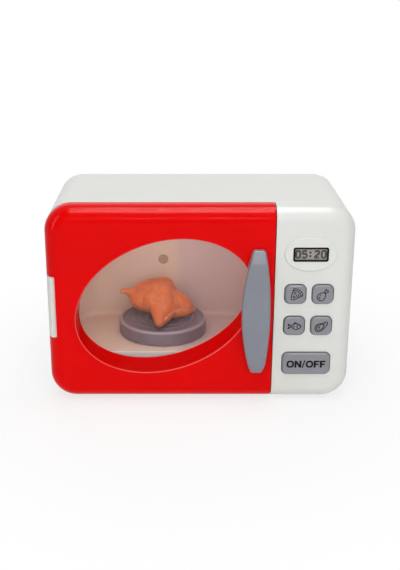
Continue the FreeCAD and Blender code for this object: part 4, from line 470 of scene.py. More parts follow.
def spread(tree, value, low, high, to_low=0.0, to_high=1.0):
    """Output of a smooth Map Range node."""
    node = add_node(tree, "ShaderNodeMapRange", {"interpolation_type": "SMOOTHSTEP"},
                    {"Value": value, "From Min": low, "From Max": high, "To Min": to_low, "To Max": to_high})
    return node.outputs["Result"]


def mix_colours(tree, factor, first, second):
    """Output of a colour Mix node."""
    node = add_node(tree, "ShaderNodeMix", {"data_type": "RGBA"}, {0: factor, 6: first, 7: second})
    return node.outputs[2]


def mix_numbers(tree, factor, first, second):
    """Output of a number Mix node."""
    node = add_node(tree, "ShaderNodeMix", {"data_type": "FLOAT"}, {0: factor, 2: first, 3: second})
    return node.outputs[0]


def object_place(tree):
    """The surface point in the part's own frame, in metres."""
    return tree.nodes.new("ShaderNodeTexCoord").outputs["Object"]


def stretched(tree, scale, turn=(0.0, 0.0, 0.0)):
    """The surface point, turned and stretched along the axes."""
    values = {"Vector": object_place(tree), "Rotation": turn, "Scale": scale}
    return add_node(tree, "ShaderNodeMapping", None, values).outputs[0]


def cloud(tree, place, scale, detail, roughness=0.5, distortion=0.0):
    """Output of a Noise Texture node."""
    values = {"Vector": place, "Scale": scale, "Detail": detail, "Roughness": roughness,
              "Distortion": distortion}
    return add_node(tree, "ShaderNodeTexNoise", None, values).outputs[0]


def surface_normal(tree):
    """The direction that the surface faces."""
    return tree.nodes.new("ShaderNodeNewGeometry").outputs["Normal"]


def bump(tree, height, distance):
    """Normal from a height map that is given in metres by distance."""
    return add_node(tree, "ShaderNodeBump", None, {"Height": height, "Distance": distance}).outputs[0]


def opaque(colour, share=1.0):
    """Four-number colour, with its brightness times share."""
    return tuple(min(1.0, channel * share) for channel in colour[:3]) + (1.0,)


def tinted(colour, red, green, blue):
    """Four-number colour, with each channel times its own share."""
    return (colour[0] * red, colour[1] * green, colour[2] * blue, 1.0)


# Effects that several finishes share
def moulding_grain(tree, given):
    """Fine orange peel of a moulded surface, and the broad tone of the plastic's flow."""
    place = object_place(tree)
    peel = cloud(tree, place, given["Peel size"], 3.0, roughness=0.55)
    flow = cloud(tree, place, given["Flow size"], 2.0, distortion=0.6)
    return {"Height": peel, "Tone": spread(tree, flow, 0.25, 0.75)}


def rubbed_and_highlit_edges(tree, given):
    """Mask along the rounded edges, broken up so that it isn't an even line: rubbed wear on most finishes, a
    painted highlight along the red door's edges.
    """
    bevel = add_node(tree, "ShaderNodeBevel", {"samples": 4}, {"Radius": given["Reach"]}).outputs[0]
    match = vector_math(tree, "DOT_PRODUCT", bevel, surface_normal(tree), output="Value")
    broken = cloud(tree, object_place(tree), given["Break size"], 4.0)
    return {"Mask": times(tree, spread(tree, match, 0.995, 0.86), spread(tree, broken, 0.35, 0.65))}


def handling_marks(tree, given):
    """Faint hair scratches and finger smears of a toy that is played with."""
    hair = cloud(tree, stretched(tree, (1.0, 14.0, 1.0), (0.4, 0.7, 0.5)), given["Scratch size"], 2.0)
    smear = cloud(tree, object_place(tree), given["Smear size"], 3.0, distortion=1.2)
    return {"Scratch": spread(tree, hair, 0.66, 0.74), "Smear": spread(tree, smear, 0.45, 0.75)}


def settled_dust(tree, given):
    """Mask of the thin dust on faces that look up."""
    upward = spread(tree, split(tree, surface_normal(tree))["Z"], 0.55, 0.98)
    speck = cloud(tree, object_place(tree), given["Speck size"], 5.0, roughness=0.7)
    return {"Mask": times(tree, upward, spread(tree, speck, 0.48, 0.72))}


EFFECTS = {
    "Moulding grain": (moulding_grain, {"Peel size": 400.0, "Flow size": 22.0}),
    "Edge wear": (rubbed_and_highlit_edges, {"Reach": 0.0006, "Break size": 160.0}),
    "Handling marks": (handling_marks, {"Scratch size": 90.0, "Smear size": 35.0}),
    "Settled dust": (settled_dust, {"Speck size": 700.0}),
}


def shared_group(name):
    """The node group of an effect, built at its first use."""
    if name in bpy.data.node_groups:
        return bpy.data.node_groups[name]
    build, inputs = EFFECTS[name]
    tree = bpy.data.node_groups.new(name, "ShaderNodeTree")
    for label, default in inputs.items():
        socket = tree.interface.new_socket(label, in_out="INPUT", socket_type="NodeSocketFloat")
        socket.default_value = default
    results = build(tree, tree.nodes.new("NodeGroupInput").outputs)
    for label in results:
        tree.interface.new_socket(label, in_out="OUTPUT", socket_type="NodeSocketFloat")
    add_node(tree, "NodeGroupOutput", None, results)
    return tree


def place_group(tree, name, **values):
    """A node of a shared group, with its own values."""
    node = tree.nodes.new("ShaderNodeGroup")
    node.node_tree = shared_group(name)
    for key, value in values.items():
        node.inputs[key.replace("_", " ").capitalize()].default_value = value
    return node.outputs


def new_surface(name):
    """A material with only its shader and output."""
    material = bpy.data.materials.new(name)
    material.use_nodes = True
    tree = material.node_tree
    tree.nodes.clear()
    shader = tree.nodes.new("ShaderNodeBsdfPrincipled")
    output = tree.nodes.new("ShaderNodeOutputMaterial")
    tree.links.new(shader.outputs[0], output.inputs["Surface"])
    return material, tree, shader.inputs


def moulded(name, painted=None):
    """Moulded plastic: orange peel, flow tone, paler edges, faint marks and a little dust; the paler edges
    are rubbed wear, and on the red door a painted highlight.
    """
    colour, roughness, *rest = MOULDED[name]
    peel_size, peel_depth, tone, edge_pale_share, edge_reach, marks, dust, specular, flow_size = rest
    if isinstance(colour, str):
        colour = getattr(settings().colours, colour)
    material, tree, shader = new_surface(name)
    grain = place_group(tree, "Moulding grain", peel_size=peel_size, flow_size=flow_size)
    edge_paling = place_group(tree, "Edge wear", reach=edge_reach * MM)
    marked = place_group(tree, "Handling marks")
    dusty = place_group(tree, "Settled dust")
    base = mix_colours(tree, grain["Tone"], opaque(colour), opaque(colour, 1.0 - tone))
    if painted:
        base = painted(tree, base)
    pale = opaque([channel * PALE_EDGE_SHARE + PALE_EDGE_LIFT for channel in colour])
    # Paler edges: rubbed wear, and on the red door a painted highlight along its edges
    paled_edges = mix_colours(tree, times(tree, edge_paling["Mask"], edge_pale_share), base, pale)
    covered = mix_colours(tree, times(tree, dusty["Mask"], dust), paled_edges, DUST)
    smeared = calculate(tree, "MULTIPLY_ADD", marked["Smear"], marks, roughness)
    scratched = calculate(tree, "MULTIPLY_ADD", marked["Scratch"], marks, smeared)
    tree.links.new(covered, shader["Base Color"])
    tree.links.new(scratched, shader["Roughness"])
    tree.links.new(bump(tree, grain["Height"], peel_depth * MICROMETRE), shader["Normal"])
    shader["Specular IOR Level"].default_value = specular
    return material


# What is painted into single finishes
def cap_seam_shade(tree, base):
    """Paints shade into the narrow seams round the caps."""
    place = split(tree, object_place(tree))
    seams = 0.0
    for node in ("on_off_button", *PICTURES):
        middle = middle_of(node)
        half = LARGE_OPENING if node == "on_off_button" else SMALL_OPENING
        squares = []
        for axis, centre, reach in (("X", middle.x, half[0]), ("Z", middle.z, half[1])):
            away = calculate(tree, "ABSOLUTE", calculate(tree, "SUBTRACT", place[axis], centre))
            past = calculate(tree, "SUBTRACT", away, (reach - OPENING_CORNER) * MM)
            squares.append(calculate(tree, "POWER", calculate(tree, "MAXIMUM", past, 0.0), 2.0))
        radius = calculate(tree, "SQRT", calculate(tree, "ADD", squares[0], squares[1]))
        seam = spread(tree, radius, (OPENING_CORNER + SEAM_REACH) * MM, (OPENING_CORNER + SEAM_CORE) * MM)
        seams = calculate(tree, "MAXIMUM", seam, seams)
    # Painted shade in and round the caps' openings
    return mix_colours(tree, times(tree, seams, 0.9), base, SEAM_SHADE)


def window_tunnel(tree, base):
    """Paints shade on the walls of the door's window and a highlight on the round edge that leads into them.
    """
    low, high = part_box("door_window")
    place = split(tree, object_place(tree))
    inside = 1.0
    for axis, least, most in (("X", low.x, high.x), ("Z", low.z, high.z)):
        past_low = calculate(tree, "GREATER_THAN", place[axis], least - TUNNEL_REACH)
        below_high = calculate(tree, "LESS_THAN", place[axis], most + TUNNEL_REACH)
        inside = times(tree, times(tree, past_low, below_high), inside)
    facing = calculate(tree, "ABSOLUTE", split(tree, surface_normal(tree))["Y"])
    wall = times(tree, spread(tree, facing, 0.75, 0.5), inside)
    rounded = times(tree, spread(tree, facing, 0.985, 0.93), spread(tree, facing, 0.5, 0.7))
    edge = times(tree, rounded, inside)
    # Painted shade on the tunnel's walls, then a painted highlight on its round edge
    dark = mix_colours(tree, times(tree, wall, 0.85), base, opaque(settings().colours.red, 0.78))
    return mix_colours(tree, times(tree, edge, 0.38), dark, TUNNEL_HIGHLIGHT)


def cool_shade_right(tree, base):
    """Paints a cooler, darker shade over the warm beige to the right of the oven's middle."""
    middle = middle_of("turntable").x
    across = split(tree, object_place(tree))["X"]
    # Painted shade: the beige, cooler and darker
    cool = tinted(settings().colours.liner, 0.86, 0.84, 0.97)
    return mix_colours(tree, spread(tree, across, middle + COOL_TURN[0], middle + COOL_TURN[1]), base, cool)


def glass_streaks(tree, base):
    """Faint upright streaks of a glass display cell."""
    lines = cloud(tree, stretched(tree, (1.0, 1.0, 0.03)), 700.0, 2.0)
    pale = opaque(settings().colours.display, 1.16)
    return mix_colours(tree, spread(tree, lines, 0.42, 0.62), base, pale)


def copper_runs(tree, base):
    """Paler copper runs under a board's lacquer."""
    runs = add_node(tree, "ShaderNodeTexBrick", {"offset": 0.37, "squash": 1.6},
                    {"Vector": object_place(tree), "Scale": 95.0, "Mortar Size": 0.09, "Mortar Smooth": 0.2})
    pattern = spread(tree, runs.outputs["Fac"], 0.3, 0.7)
    return mix_colours(tree, times(tree, pattern, 0.7), base, COPPER_RUNS)


def copper_band(tree, base):
    """Copper-coloured upper end of a plain wrapped cell."""
    low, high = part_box("batteries")
    rise = high.z - low.z
    upward = split(tree, object_place(tree))["Z"]
    start = low.z + CELL_BAND * rise
    upper = spread(tree, upward, start, start + CELL_BAND_EDGE * rise)
    return mix_colours(tree, upper, base, CELL_COPPER)


# Finishes with nodes of their own
def turntable_grey():
    """Satin grey with fine turned rings about the turntable's axis, painted shade in their grooves, and a
    painted highlight along the rim.
    """
    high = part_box("turntable")[1]
    axis = middle_of("turntable")
    radius_to, rise_to = high.x - axis.x, high.z - axis.z
    material = moulded("turntable_grey")
    tree = material.node_tree
    shader = next(node for node in tree.nodes if node.type == "BSDF_PRINCIPLED")
    base = shader.inputs["Base Color"].links[0].from_socket
    peel = shader.inputs["Normal"].links[0].from_node
    centred = vector_math(tree, "SUBTRACT", object_place(tree), tuple(axis))
    rings = add_node(tree, "ShaderNodeTexWave", {"wave_type": "RINGS", "rings_direction": "Z"},
                     {"Vector": centred, "Scale": 620.0, "Distortion": 0.4}).outputs["Fac"]
    ringed = mix_colours(tree, spread(tree, rings, 0.2, 0.8, 0.0, 0.42), base, RING_SHADE)
    flat = vector_math(tree, "MULTIPLY", centred, (1.0, 1.0, 0.0))
    radius = vector_math(tree, "LENGTH", flat, output="Value")
    outer = spread(tree, radius, radius_to - RIM_INWARD[0], radius_to - RIM_INWARD[1])
    rise = split(tree, centred)["Z"]
    upper = spread(tree, rise, rise_to - RIM_DOWNWARD[0], rise_to - RIM_DOWNWARD[1])
    # Painted highlight along the top of the rim
    rim_highlight = times(tree, times(tree, outer, upper), 0.42)
    tree.links.new(mix_colours(tree, rim_highlight, ringed, RIM_HIGHLIGHT), shader.inputs["Base Color"])
    tree.links.new(bump(tree, rings, 0.000012), peel.inputs["Normal"])
    return material


def window_clear():
    """Clear sheet: mostly see-through, with faint haze, hair scratches and a few bright specks."""
    material, tree, shader = new_surface("window_clear")
    marked = place_group(tree, "Handling marks", scratch_size=120.0, smear_size=18.0)
    cells = add_node(tree, "ShaderNodeTexVoronoi", None, {"Vector": object_place(tree), "Scale": 55.0})
    speck = spread(tree, cells.outputs["Distance"], 0.03, 0.018)
    haze = calculate(tree, "MULTIPLY_ADD", marked["Smear"], 0.012, 0.015)
    scratched = calculate(tree, "MULTIPLY_ADD", marked["Scratch"], 0.03, haze)
    tree.links.new(calculate(tree, "MULTIPLY_ADD", speck, 0.35, scratched), shader["Alpha"])
    tree.links.new(spread(tree, marked["Smear"], 0.0, 1.0, 0.06, 0.14), shader["Roughness"])
    tree.links.new(mix_colours(tree, speck, PANE_HAZE, WHITE), shader["Base Color"])
    return material


def plated(name):
    """Plated metal with fine drawn lines and dull patches."""
    colour, roughness, stretch = PLATED[name]
    material, tree, shader = new_surface(name)
    lines = cloud(tree, stretched(tree, stretch), 900.0, 3.0)
    marked = place_group(tree, "Handling marks", smear_size=120.0)
    edge_paling = place_group(tree, "Edge wear", reach=0.0003)
    tone = mix_colours(tree, marked["Smear"], opaque(colour), opaque(colour, 0.72))
    paled_edges = mix_colours(tree, times(tree, edge_paling["Mask"], 0.4), tone, opaque(colour, 1.35))
    tree.links.new(paled_edges, shader["Base Color"])
    tree.links.new(spread(tree, lines, 0.3, 0.7, roughness * 0.8, roughness * 1.25), shader["Roughness"])
    tree.links.new(bump(tree, lines, 0.000012), shader["Normal"])
    shader["Metallic"].default_value = 1.0
    return material


def roast_skin():
    """Soft orange-brown vinyl: painted shade in the folds and near the underside, a painted highlight on the
    rounded tops, pimpled on the back, with a pale parting line.
    """
    colour = settings().colours.chicken
    base_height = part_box("toy_chicken")[0].z
    material, tree, shader = new_surface("roast_skin")
    place = object_place(tree)
    marked = place_group(tree, "Handling marks", smear_size=60.0)
    grain = place_group(tree, "Moulding grain", peel_size=1300.0, flow_size=55.0)
    patch = mix_colours(tree, grain["Tone"], opaque(colour), tinted(colour, 0.88, 0.72, 0.68))
    height = split(tree, place)["Z"]
    # Painted shade near the underside and in the creases, painted highlight on the rounded tops
    under = spread(tree, height, base_height + UNDERSIDE_SHADE, base_height)
    shaded = mix_colours(tree, under, patch, opaque(colour, 0.62))
    folds = tree.nodes.new("ShaderNodeNewGeometry").outputs["Pointiness"]
    crease_shaded = mix_colours(tree, spread(tree, folds, 0.492, 0.455), shaded, tinted(colour, 0.6, 0.5, 0.5))
    lit = mix_colours(tree, spread(tree, folds, 0.515, 0.56, 0.0, 0.55), crease_shaded, SKIN_LIT)
    pimples = add_node(tree, "ShaderNodeTexVoronoi", None,
                       {"Vector": place, "Scale": 470.0, "Randomness": 0.9})
    pimpled = add_node(tree, "ShaderNodeAttribute", {"attribute_name": "pimpled"}).outputs["Fac"]
    dots = times(tree, spread(tree, pimples.outputs["Distance"], 0.44, 0.26), pimpled)
    dotted = mix_colours(tree, times(tree, dots, 0.5), lit, SKIN_PIMPLE)
    seam = add_node(tree, "ShaderNodeAttribute", {"attribute_name": "seam"}).outputs["Fac"]
    broken = spread(tree, cloud(tree, place, 420.0, 2.0), 0.36, 0.6)
    parted = mix_colours(tree, times(tree, times(tree, seam, broken), 0.85), dotted, SKIN_SEAM)
    tree.links.new(parted, shader["Base Color"])
    tree.links.new(calculate(tree, "MULTIPLY_ADD", marked["Smear"], 0.12, 0.4), shader["Roughness"])
    pocked = bump(tree, calculate(tree, "SUBTRACT", 1.0, dots), 0.00012)
    tree.links.new(bump(tree, grain["Height"], 0.00005), pocked.node.inputs["Normal"])
    tree.links.new(pocked, shader["Normal"])
    shader["Subsurface Weight"].default_value = 0.08
    shader["Subsurface Radius"].default_value = (0.004, 0.0015, 0.0008)
    return material


def finish_nodes(material, *names):
    """Gives CAD nodes their finish in their own material slots."""
    for name in names:
        mesh = NODES[name].data
        if not mesh.materials:
            mesh.materials.append(material)
        for index in range(len(mesh.materials)):
            mesh.materials[index] = material


# Flat prints
def smooth_line(points, closed, steps=6):
    """Points along a smooth line through the given ones."""
    count = len(points)
    corners = [Vector(point) for point in points]
    line = []
    for index in range(count if closed else count - 1):
        if closed:
            a, b, c, d = (corners[(index + offset) % count] for offset in (-1, 0, 1, 2))
        else:
            a, b, c, d = (corners[min(max(index + offset, 0), count - 1)] for offset in (-1, 0, 1, 2))
        for step in range(steps):
            t = step / steps
            square = (2 * a - 5 * b + 4 * c - d) * t * t
            cube = (3 * b - a - 3 * c + d) * t ** 3
            line.append(0.5 * (2 * b + (c - a) * t + square + cube))
    if not closed:
        line.append(corners[-1])
    return line


def ring_line(across, up, radius, count=18):
    """Points round a circle."""
    turns = [2 * math.pi * index / count for index in range(count)]
    return [Vector((across + radius * math.cos(turn), up + radius * math.sin(turn))) for turn in turns]


def stroke(mesh, line, width, closed, place, top):
    """A ribbon of even width along a line, from just under the face that carries it to its own top."""
    count = len(line)
    rows = []
    for index, point in enumerate(line):
        before = line[(index - 1) % count] if closed or index else point
        after = line[(index + 1) % count] if closed or index < count - 1 else point
        along = (after - before).normalized()
        side = Vector((-along.y, along.x)) * (width / 2)
        upper = side * STROKE_TOP
        corners = ((point + side, -top), (point + upper, top), (point - upper, top), (point - side, -top))
        rows.append([mesh.verts.new(place(spot.x, spot.y, rise)) for spot, rise in corners])
    for index in range(count if closed else count - 1):
        here, there = rows[index], rows[(index + 1) % count]
        for edge in range(4):
            mesh.faces.new((here[edge], there[edge], there[(edge + 1) % 4], here[(edge + 1) % 4]))
    if not closed:
        mesh.faces.new(rows[0])
        mesh.faces.new(list(reversed(rows[-1])))


def slab(mesh, outline, place, top):
    """A flat filled shape with upright sides."""
    upper = [mesh.verts.new(place(across, up, top)) for across, up in outline]
    lower = [mesh.verts.new(place(across, up, -top)) for across, up in outline]
    mesh.faces.new(upper)
    mesh.faces.new(list(reversed(lower)))
    for index in range(len(outline)):
        after = (index + 1) % len(outline)
        mesh.faces.new((upper[index], lower[index], lower[after], upper[after]))


def hollow_slab(mesh, outer, inner, place, top):
    """A flat shape with a hole, with upright sides."""
    loops = []
    for outline, rise in ((outer, top), (inner, top), (inner, -top), (outer, -top)):
        loops.append([mesh.verts.new(place(across, up, rise)) for across, up in outline])
    for loop, following in zip(loops, loops[1:] + loops[:1]):
        for index in range(len(outer)):
            after = (index + 1) % len(outer)
            mesh.faces.new((loop[index], loop[after], following[after], following[index]))


def round_letter(middle, half_width, half_height, size, count=40):
    """Outline of a wide round letter that stands at the middle of the line."""
    outline = []
    for index in range(count):
        turn = 2 * math.pi * index / count
        across, up = math.cos(turn), math.sin(turn)
        reach = (abs(across) ** ROUND_POWER + abs(up) ** ROUND_POWER) ** (-1 / ROUND_POWER)
        outline.append(Vector((middle + half_width * across * reach, half_height * up * reach)) * size)
    return outline


def on_face(node, lift=0.0):
    """Maps right, up and rise, in metres, to the front face of a CAD node or a little off it."""
    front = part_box(node)[0].y - lift
    middle = middle_of(node)

    def place(across, up, rise):
        return Vector((middle.x + across, front - rise, middle.z + up))

    return place


def link_piece(name, data, material, body):
    """A piece of the scene on its body, with its finish."""
    data.materials.clear()
    data.materials.append(material)
    piece = bpy.data.objects.new(name, data)
    bpy.context.scene.collection.objects.link(piece)
    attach(piece, body)
    return piece


def new_mesh(name, mesh):
    """Mesh data from a finished edit mesh."""
    data = bpy.data.meshes.new(name)
    mesh.to_mesh(data)
    mesh.free()
    return data


def print_piece(name, mesh, material, body):
    """A print with its faces turned outwards."""
    bmesh.ops.recalc_face_normals(mesh, faces=mesh.faces)
    link_piece(name, new_mesh(name, mesh), material, body)


def food_picture(node, picture, material):
    """The printed picture of one small cap."""
    prints = settings().prints
    mesh = bmesh.new()
    turn = Matrix.Rotation(math.radians(picture["turn"]), 2)
    place = on_face(node)
    unit = MM * prints.picture_scale

    def sized(points):
        return [turn @ Vector(point) * unit for point in points]

    for key, closed in (("open_lines", False), ("closed_lines", True)):
        for points in picture[key]:
            line = smooth_line(sized(points), closed)
            stroke(mesh, line, prints.picture_line, closed, place, prints.ink_height)
    for ring in picture["rings"]:
        line_width = prints.picture_line * RING_LINE
        stroke(mesh, sized(ring_line(*ring)), line_width, True, place, prints.ink_height)
    for dot in picture["dots"]:
        slab(mesh, sized(ring_line(*dot)), place, prints.ink_height)
    print_piece(node + "_picture", mesh, material, node)


def on_off_letters(material):
    """The bold words on the large cap."""
    prints = settings().prints
    size = prints.letter_height
    mesh = bmesh.new()
    place = on_face("on_off_button")
    start = -(sum(width for width, _ in ON_OFF) + LETTER_GAP * (len(ON_OFF) - 1)) / 2
    for width, shape in ON_OFF:
        if shape:
            outline = [Vector((start + across, up - 0.5)) * size for across, up in shape]
            slab(mesh, outline, place, prints.ink_height)
        else:
            middle = start + width / 2
            hole = (width / 2 - ROUND_STROKE[0], ROUND_HALF_HEIGHT - ROUND_STROKE[1])
            outer = round_letter(middle, width / 2, ROUND_HALF_HEIGHT, size)
            hollow_slab(mesh, outer, round_letter(middle, *hole, size), place, prints.ink_height)
        start += width + LETTER_GAP
    print_piece("on_off_letters", mesh, material, "on_off_button")


def display_digits(name, width, lift, material):
    """The display's digits in one line width, standing a little off the card."""
    prints = settings().prints
    mesh = bmesh.new()
    place = on_face("display_screen", lift)
    for digit, middle in DIGIT_PLACES:
        points, closed = DIGIT_LINES[digit]
        sized = []
        for across, up in points:
            right = middle * MM + (across - 0.5) * prints.digit_width
            sized.append(Vector((right, (up - 0.5) * prints.digit_height)))
        stroke(mesh, smooth_line(sized, closed), width, closed, place, prints.ink_height)
    for side in (-1, 1):
        up = side * COLON_RISE * prints.digit_height
        slab(mesh, ring_line(COLON_PLACE * MM, up, width * COLON_SIZE), place, prints.ink_height)
    print_piece(name, mesh, material, "casing")


# Toy chicken
def chicken_balls(origin, unit):
    """All limbs as close runs of balls, in one mesh."""
    mesh = bmesh.new()
    for _, places in CHICKEN_LIMBS:
        line = smooth_line([place[:3] for place in places], False, LIMB_STEPS)
        sizes = smooth_line([(place[3], 0.0) for place in places], False, LIMB_STEPS)
        for spot, size in zip(line, sizes):
            where = Matrix.Translation(origin + spot * unit)
            bmesh.ops.create_icosphere(mesh, subdivisions=3, radius=size.x * unit, matrix=where)
    return new_mesh("chicken_limbs", mesh)


def one_skin(rough):
    """One smooth skin round all the limbs."""
    chosen = settings().chicken
    limbs = bpy.data.objects.new(rough.name, rough)
    bpy.context.scene.collection.objects.link(limbs)
    remesh = limbs.modifiers.new("One skin", "REMESH")
    remesh.mode = "VOXEL"
    remesh.voxel_size = chosen.voxel
    soft = limbs.modifiers.new("Soft", "SMOOTH")
    soft.factor = 0.5
    soft.iterations = chosen.smoothing
    bpy.context.view_layer.update()
    data = bpy.data.meshes.new_from_object(limbs.evaluated_get(bpy.context.evaluated_depsgraph_get()))
    bpy.data.objects.remove(limbs)
    bpy.data.meshes.remove(rough)
    data.name = "roast_chicken"
    return data


def along_line(point, line):
    """Distance from a point to a run of straight lines."""
    nearest = 1.0
    for first, second in zip(line, line[1:]):
        run = second - first
        share = max(0.0, min(1.0, (point - first).dot(run) / run.length_squared))
        nearest = min(nearest, (point - first - run * share).length)
    return nearest


def flattened(point, facing):
    """A point seen along a direction, without its depth."""
    return point - facing * point.dot(facing)


def finish_skin(data, origin, unit):
    """Soft wrinkles, the flat underside, and the places of the pimples and the parting line."""
    depth = settings().chicken.wrinkle
    facing = Vector(CHICKEN_SEAM_FACING)
    seam_line = [flattened(origin + Vector(place) * unit, facing) for place in CHICKEN_SEAM]
    middle = origin + Vector(CHICKEN_PIMPLES) * unit
    pimpled, seam = [], []
    for vertex in data.vertices:
        spot = vertex.co.copy()
        local = (spot - origin) * (1.0 / unit)
        folds = noise.noise(local * Vector(FOLD_SCALE))
        fine = noise.noise(local * FINE_SCALE)
        vertex.co = spot + vertex.normal * depth * (FOLD_SHARE * folds + FINE_SHARE * fine)
        vertex.co.z = max(vertex.co.z, origin.z)
        away = (spot - middle).length / unit
        pimpled.append(max(0.0, min(1.0, (PIMPLE_REACH - away) / PIMPLE_FADE)))
        in_front = vertex.normal.dot(facing) < 0.0
        beside = along_line(flattened(spot, facing), seam_line) if in_front else CHICKEN_SEAM_WIDTH
        seam.append(max(0.0, 1.0 - beside / CHICKEN_SEAM_WIDTH))
    for name, values in (("pimpled", pimpled), ("seam", seam)):
        data.attributes.new(name, "FLOAT", "POINT").data.foreach_set("value", values)


def toy_chicken(material):
    """The toy roast chicken: joined limbs, one skin, smoothed and finished."""
    plate_low, plate_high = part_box("turntable")
    unit = (plate_high.x - plate_low.x) / 2
    origin = middle_of("turntable")
    origin.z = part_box("toy_chicken")[0].z
    data = one_skin(chicken_balls(origin, unit))
    finish_skin(data, origin, unit)
    data.polygons.foreach_set("use_smooth", [True] * len(data.polygons))
    chicken = link_piece("roast_chicken", data, material, "toy_chicken")
    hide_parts("toy_chicken")


# Studio
def mirrored_rays(tree, rays):
    """One for rays that come by way of a mirror or a clear pane."""
    return calculate(tree, "MAXIMUM", rays["Is Glossy Ray"], rays["Is Transmission Ray"])


def white_floor():
    """Pale floor that keeps the part's shadow near it and is plain white farther off."""
    studio = settings().studio
    material, tree, shader = new_surface("white_floor")
    place = object_place(tree)
    tone = mix_colours(tree, spread(tree, cloud(tree, place, 3.0, 2.0), 0.3, 0.7), *FLOOR_TONES)
    tree.links.new(tone, shader["Base Color"])
    shader["Roughness"].default_value = 0.9
    shader["Specular IOR Level"].default_value = 0.0
    away = vector_math(tree, "LENGTH", place, output="Value")
    white = spread(tree, away, studio.floor_near, studio.floor_far, FLOOR_GLOW, 1.0)
    rays = tree.nodes.new("ShaderNodeLightPath").outputs
    seen = calculate(tree, "MAXIMUM", rays["Is Camera Ray"], mirrored_rays(tree, rays))
    glow = add_node(tree, "ShaderNodeEmission", None, {"Color": WHITE, "Strength": 1.0}).outputs[0]
    output = next(node for node in tree.nodes if node.type == "OUTPUT_MATERIAL").inputs["Surface"]
    matt = output.links[0].from_socket
    shown = add_node(tree, "ShaderNodeMixShader", None, {0: times(tree, white, seen), 1: matt, 2: glow})
    tree.links.new(shown.outputs[0], output)
    return material


def studio_floor():
    """The square floor under the part."""
    mesh = bmesh.new()
    bmesh.ops.create_grid(mesh, x_segments=8, y_segments=8, size=settings().studio.floor_size / 2)
    data = new_mesh("floor", mesh)
    data.materials.append(white_floor())
    floor = bpy.data.objects.new("floor", data)
    floor.location = (0.0, 0.0, -FLOOR_DROP)
    bpy.context.scene.collection.objects.link(floor)


def studio_world():
    """White all round for the camera, and an even soft light for the part."""
    world = bpy.data.worlds.new("studio")
    world.use_nodes = True
    tree = world.node_tree
    tree.nodes.clear()
    rays = tree.nodes.new("ShaderNodeLightPath").outputs
    facing = split(tree, tree.nodes.new("ShaderNodeTexCoord").outputs["Generated"])["Y"]
    behind = spread(tree, facing, -0.35, 0.25, 0.12, 1.0)
    soft = mix_numbers(tree, mirrored_rays(tree, rays), settings().studio.ambient, behind)
    seen = mix_numbers(tree, rays["Is Camera Ray"], soft, 1.0)
    light = add_node(tree, "ShaderNodeBackground", None, {"Color": WHITE, "Strength": seen})
    add_node(tree, "ShaderNodeOutputWorld", None, {"Surface": light.outputs[0]})
    bpy.context.scene.world = world


def soft_lamp(name, place, target, size, setting, matt, glossy):
    """A large lamp that looks at a point and lights matt faces, shines in glossy faces, or both."""
    data = bpy.data.lights.new(name, "AREA")
    data.shape = "RECTANGLE"
    data.size, data.size_y = size
    data.energy = getattr(settings().studio, setting)
    lamp = bpy.data.objects.new(name, data)
    lamp.location = place
    lamp.rotation_euler = (Vector(target) - Vector(place)).to_track_quat("-Z", "Y").to_euler()
    lamp.visible_diffuse = matt
    lamp.visible_glossy = glossy
    lamp.visible_camera = False
    bpy.context.scene.collection.objects.link(lamp)


def studio_camera():
    """The camera at the studio's place, looking down at the part's front."""
    studio = settings().studio
    data = bpy.data.cameras.new("camera")
    data.lens = studio.lens
    data.sensor_width = SENSOR_WIDTH
    data.shift_x = studio.shift_right
    camera = bpy.data.objects.new("camera", data)
    camera.location = studio.camera_place
    camera.rotation_euler = (math.pi / 2 - studio.camera_pitch, 0.0, 0.0)
    bpy.context.scene.collection.objects.link(camera)
    bpy.context.scene.camera = camera


# Operators, one for each group of pieces and one for the studio
class MICROWAVE_OT_casing(bpy.types.Operator):
    """Finishes the casing, its rear cover, battery cover and feet"""
    bl_idname = "microwave.casing"
    bl_label = "Casing"

    def execute(self, context):
        finish_nodes(moulded("casing_white", cap_seam_shade), "outer_casing")
        finish_nodes(moulded("cover_white"), "rear_cover", "battery_cover")
        finish_nodes(moulded("foot_rubber"), "rubber_feet")
        return {"FINISHED"}


class MICROWAVE_OT_door(bpy.types.Operator):
    """Finishes the swing door, its window and its handle"""
    bl_idname = "microwave.door"
    bl_label = "Door"

    def execute(self, context):
        finish_nodes(moulded("door_red", window_tunnel), "door_panel")
        finish_nodes(moulded("door_back_red"), "door_back_frame")
        finish_nodes(window_clear(), "door_window")
        finish_nodes(moulded("handle_grey"), "door_handle")
        return {"FINISHED"}


class MICROWAVE_OT_oven(bpy.types.Operator):
    """Finishes the oven's inside and the turntable"""
    bl_idname = "microwave.oven"
    bl_label = "Oven"

    def execute(self, context):
        finish_nodes(moulded("oven_beige", cool_shade_right), "cavity_liner")
        finish_nodes(moulded("lens_milky"), "lamp_lens")
        finish_nodes(turntable_grey(), "turntable")
        return {"FINISHED"}


class MICROWAVE_OT_chicken(bpy.types.Operator):
    """Makes the toy chicken on the turntable"""
    bl_idname = "microwave.chicken"
    bl_label = "Toy chicken"

    def execute(self, context):
        toy_chicken(roast_skin())
        return {"FINISHED"}


class MICROWAVE_OT_buttons(bpy.types.Operator):
    """Finishes the buttons and prints their pictures and letters"""
    bl_idname = "microwave.buttons"
    bl_label = "Buttons"

    def execute(self, context):
        finish_nodes(moulded("button_grey"), "on_off_button", *PICTURES)
        ink = moulded("printed_ink")
        for node, picture in PICTURES.items():
            food_picture(node, picture, ink)
        on_off_letters(ink)
        return {"FINISHED"}


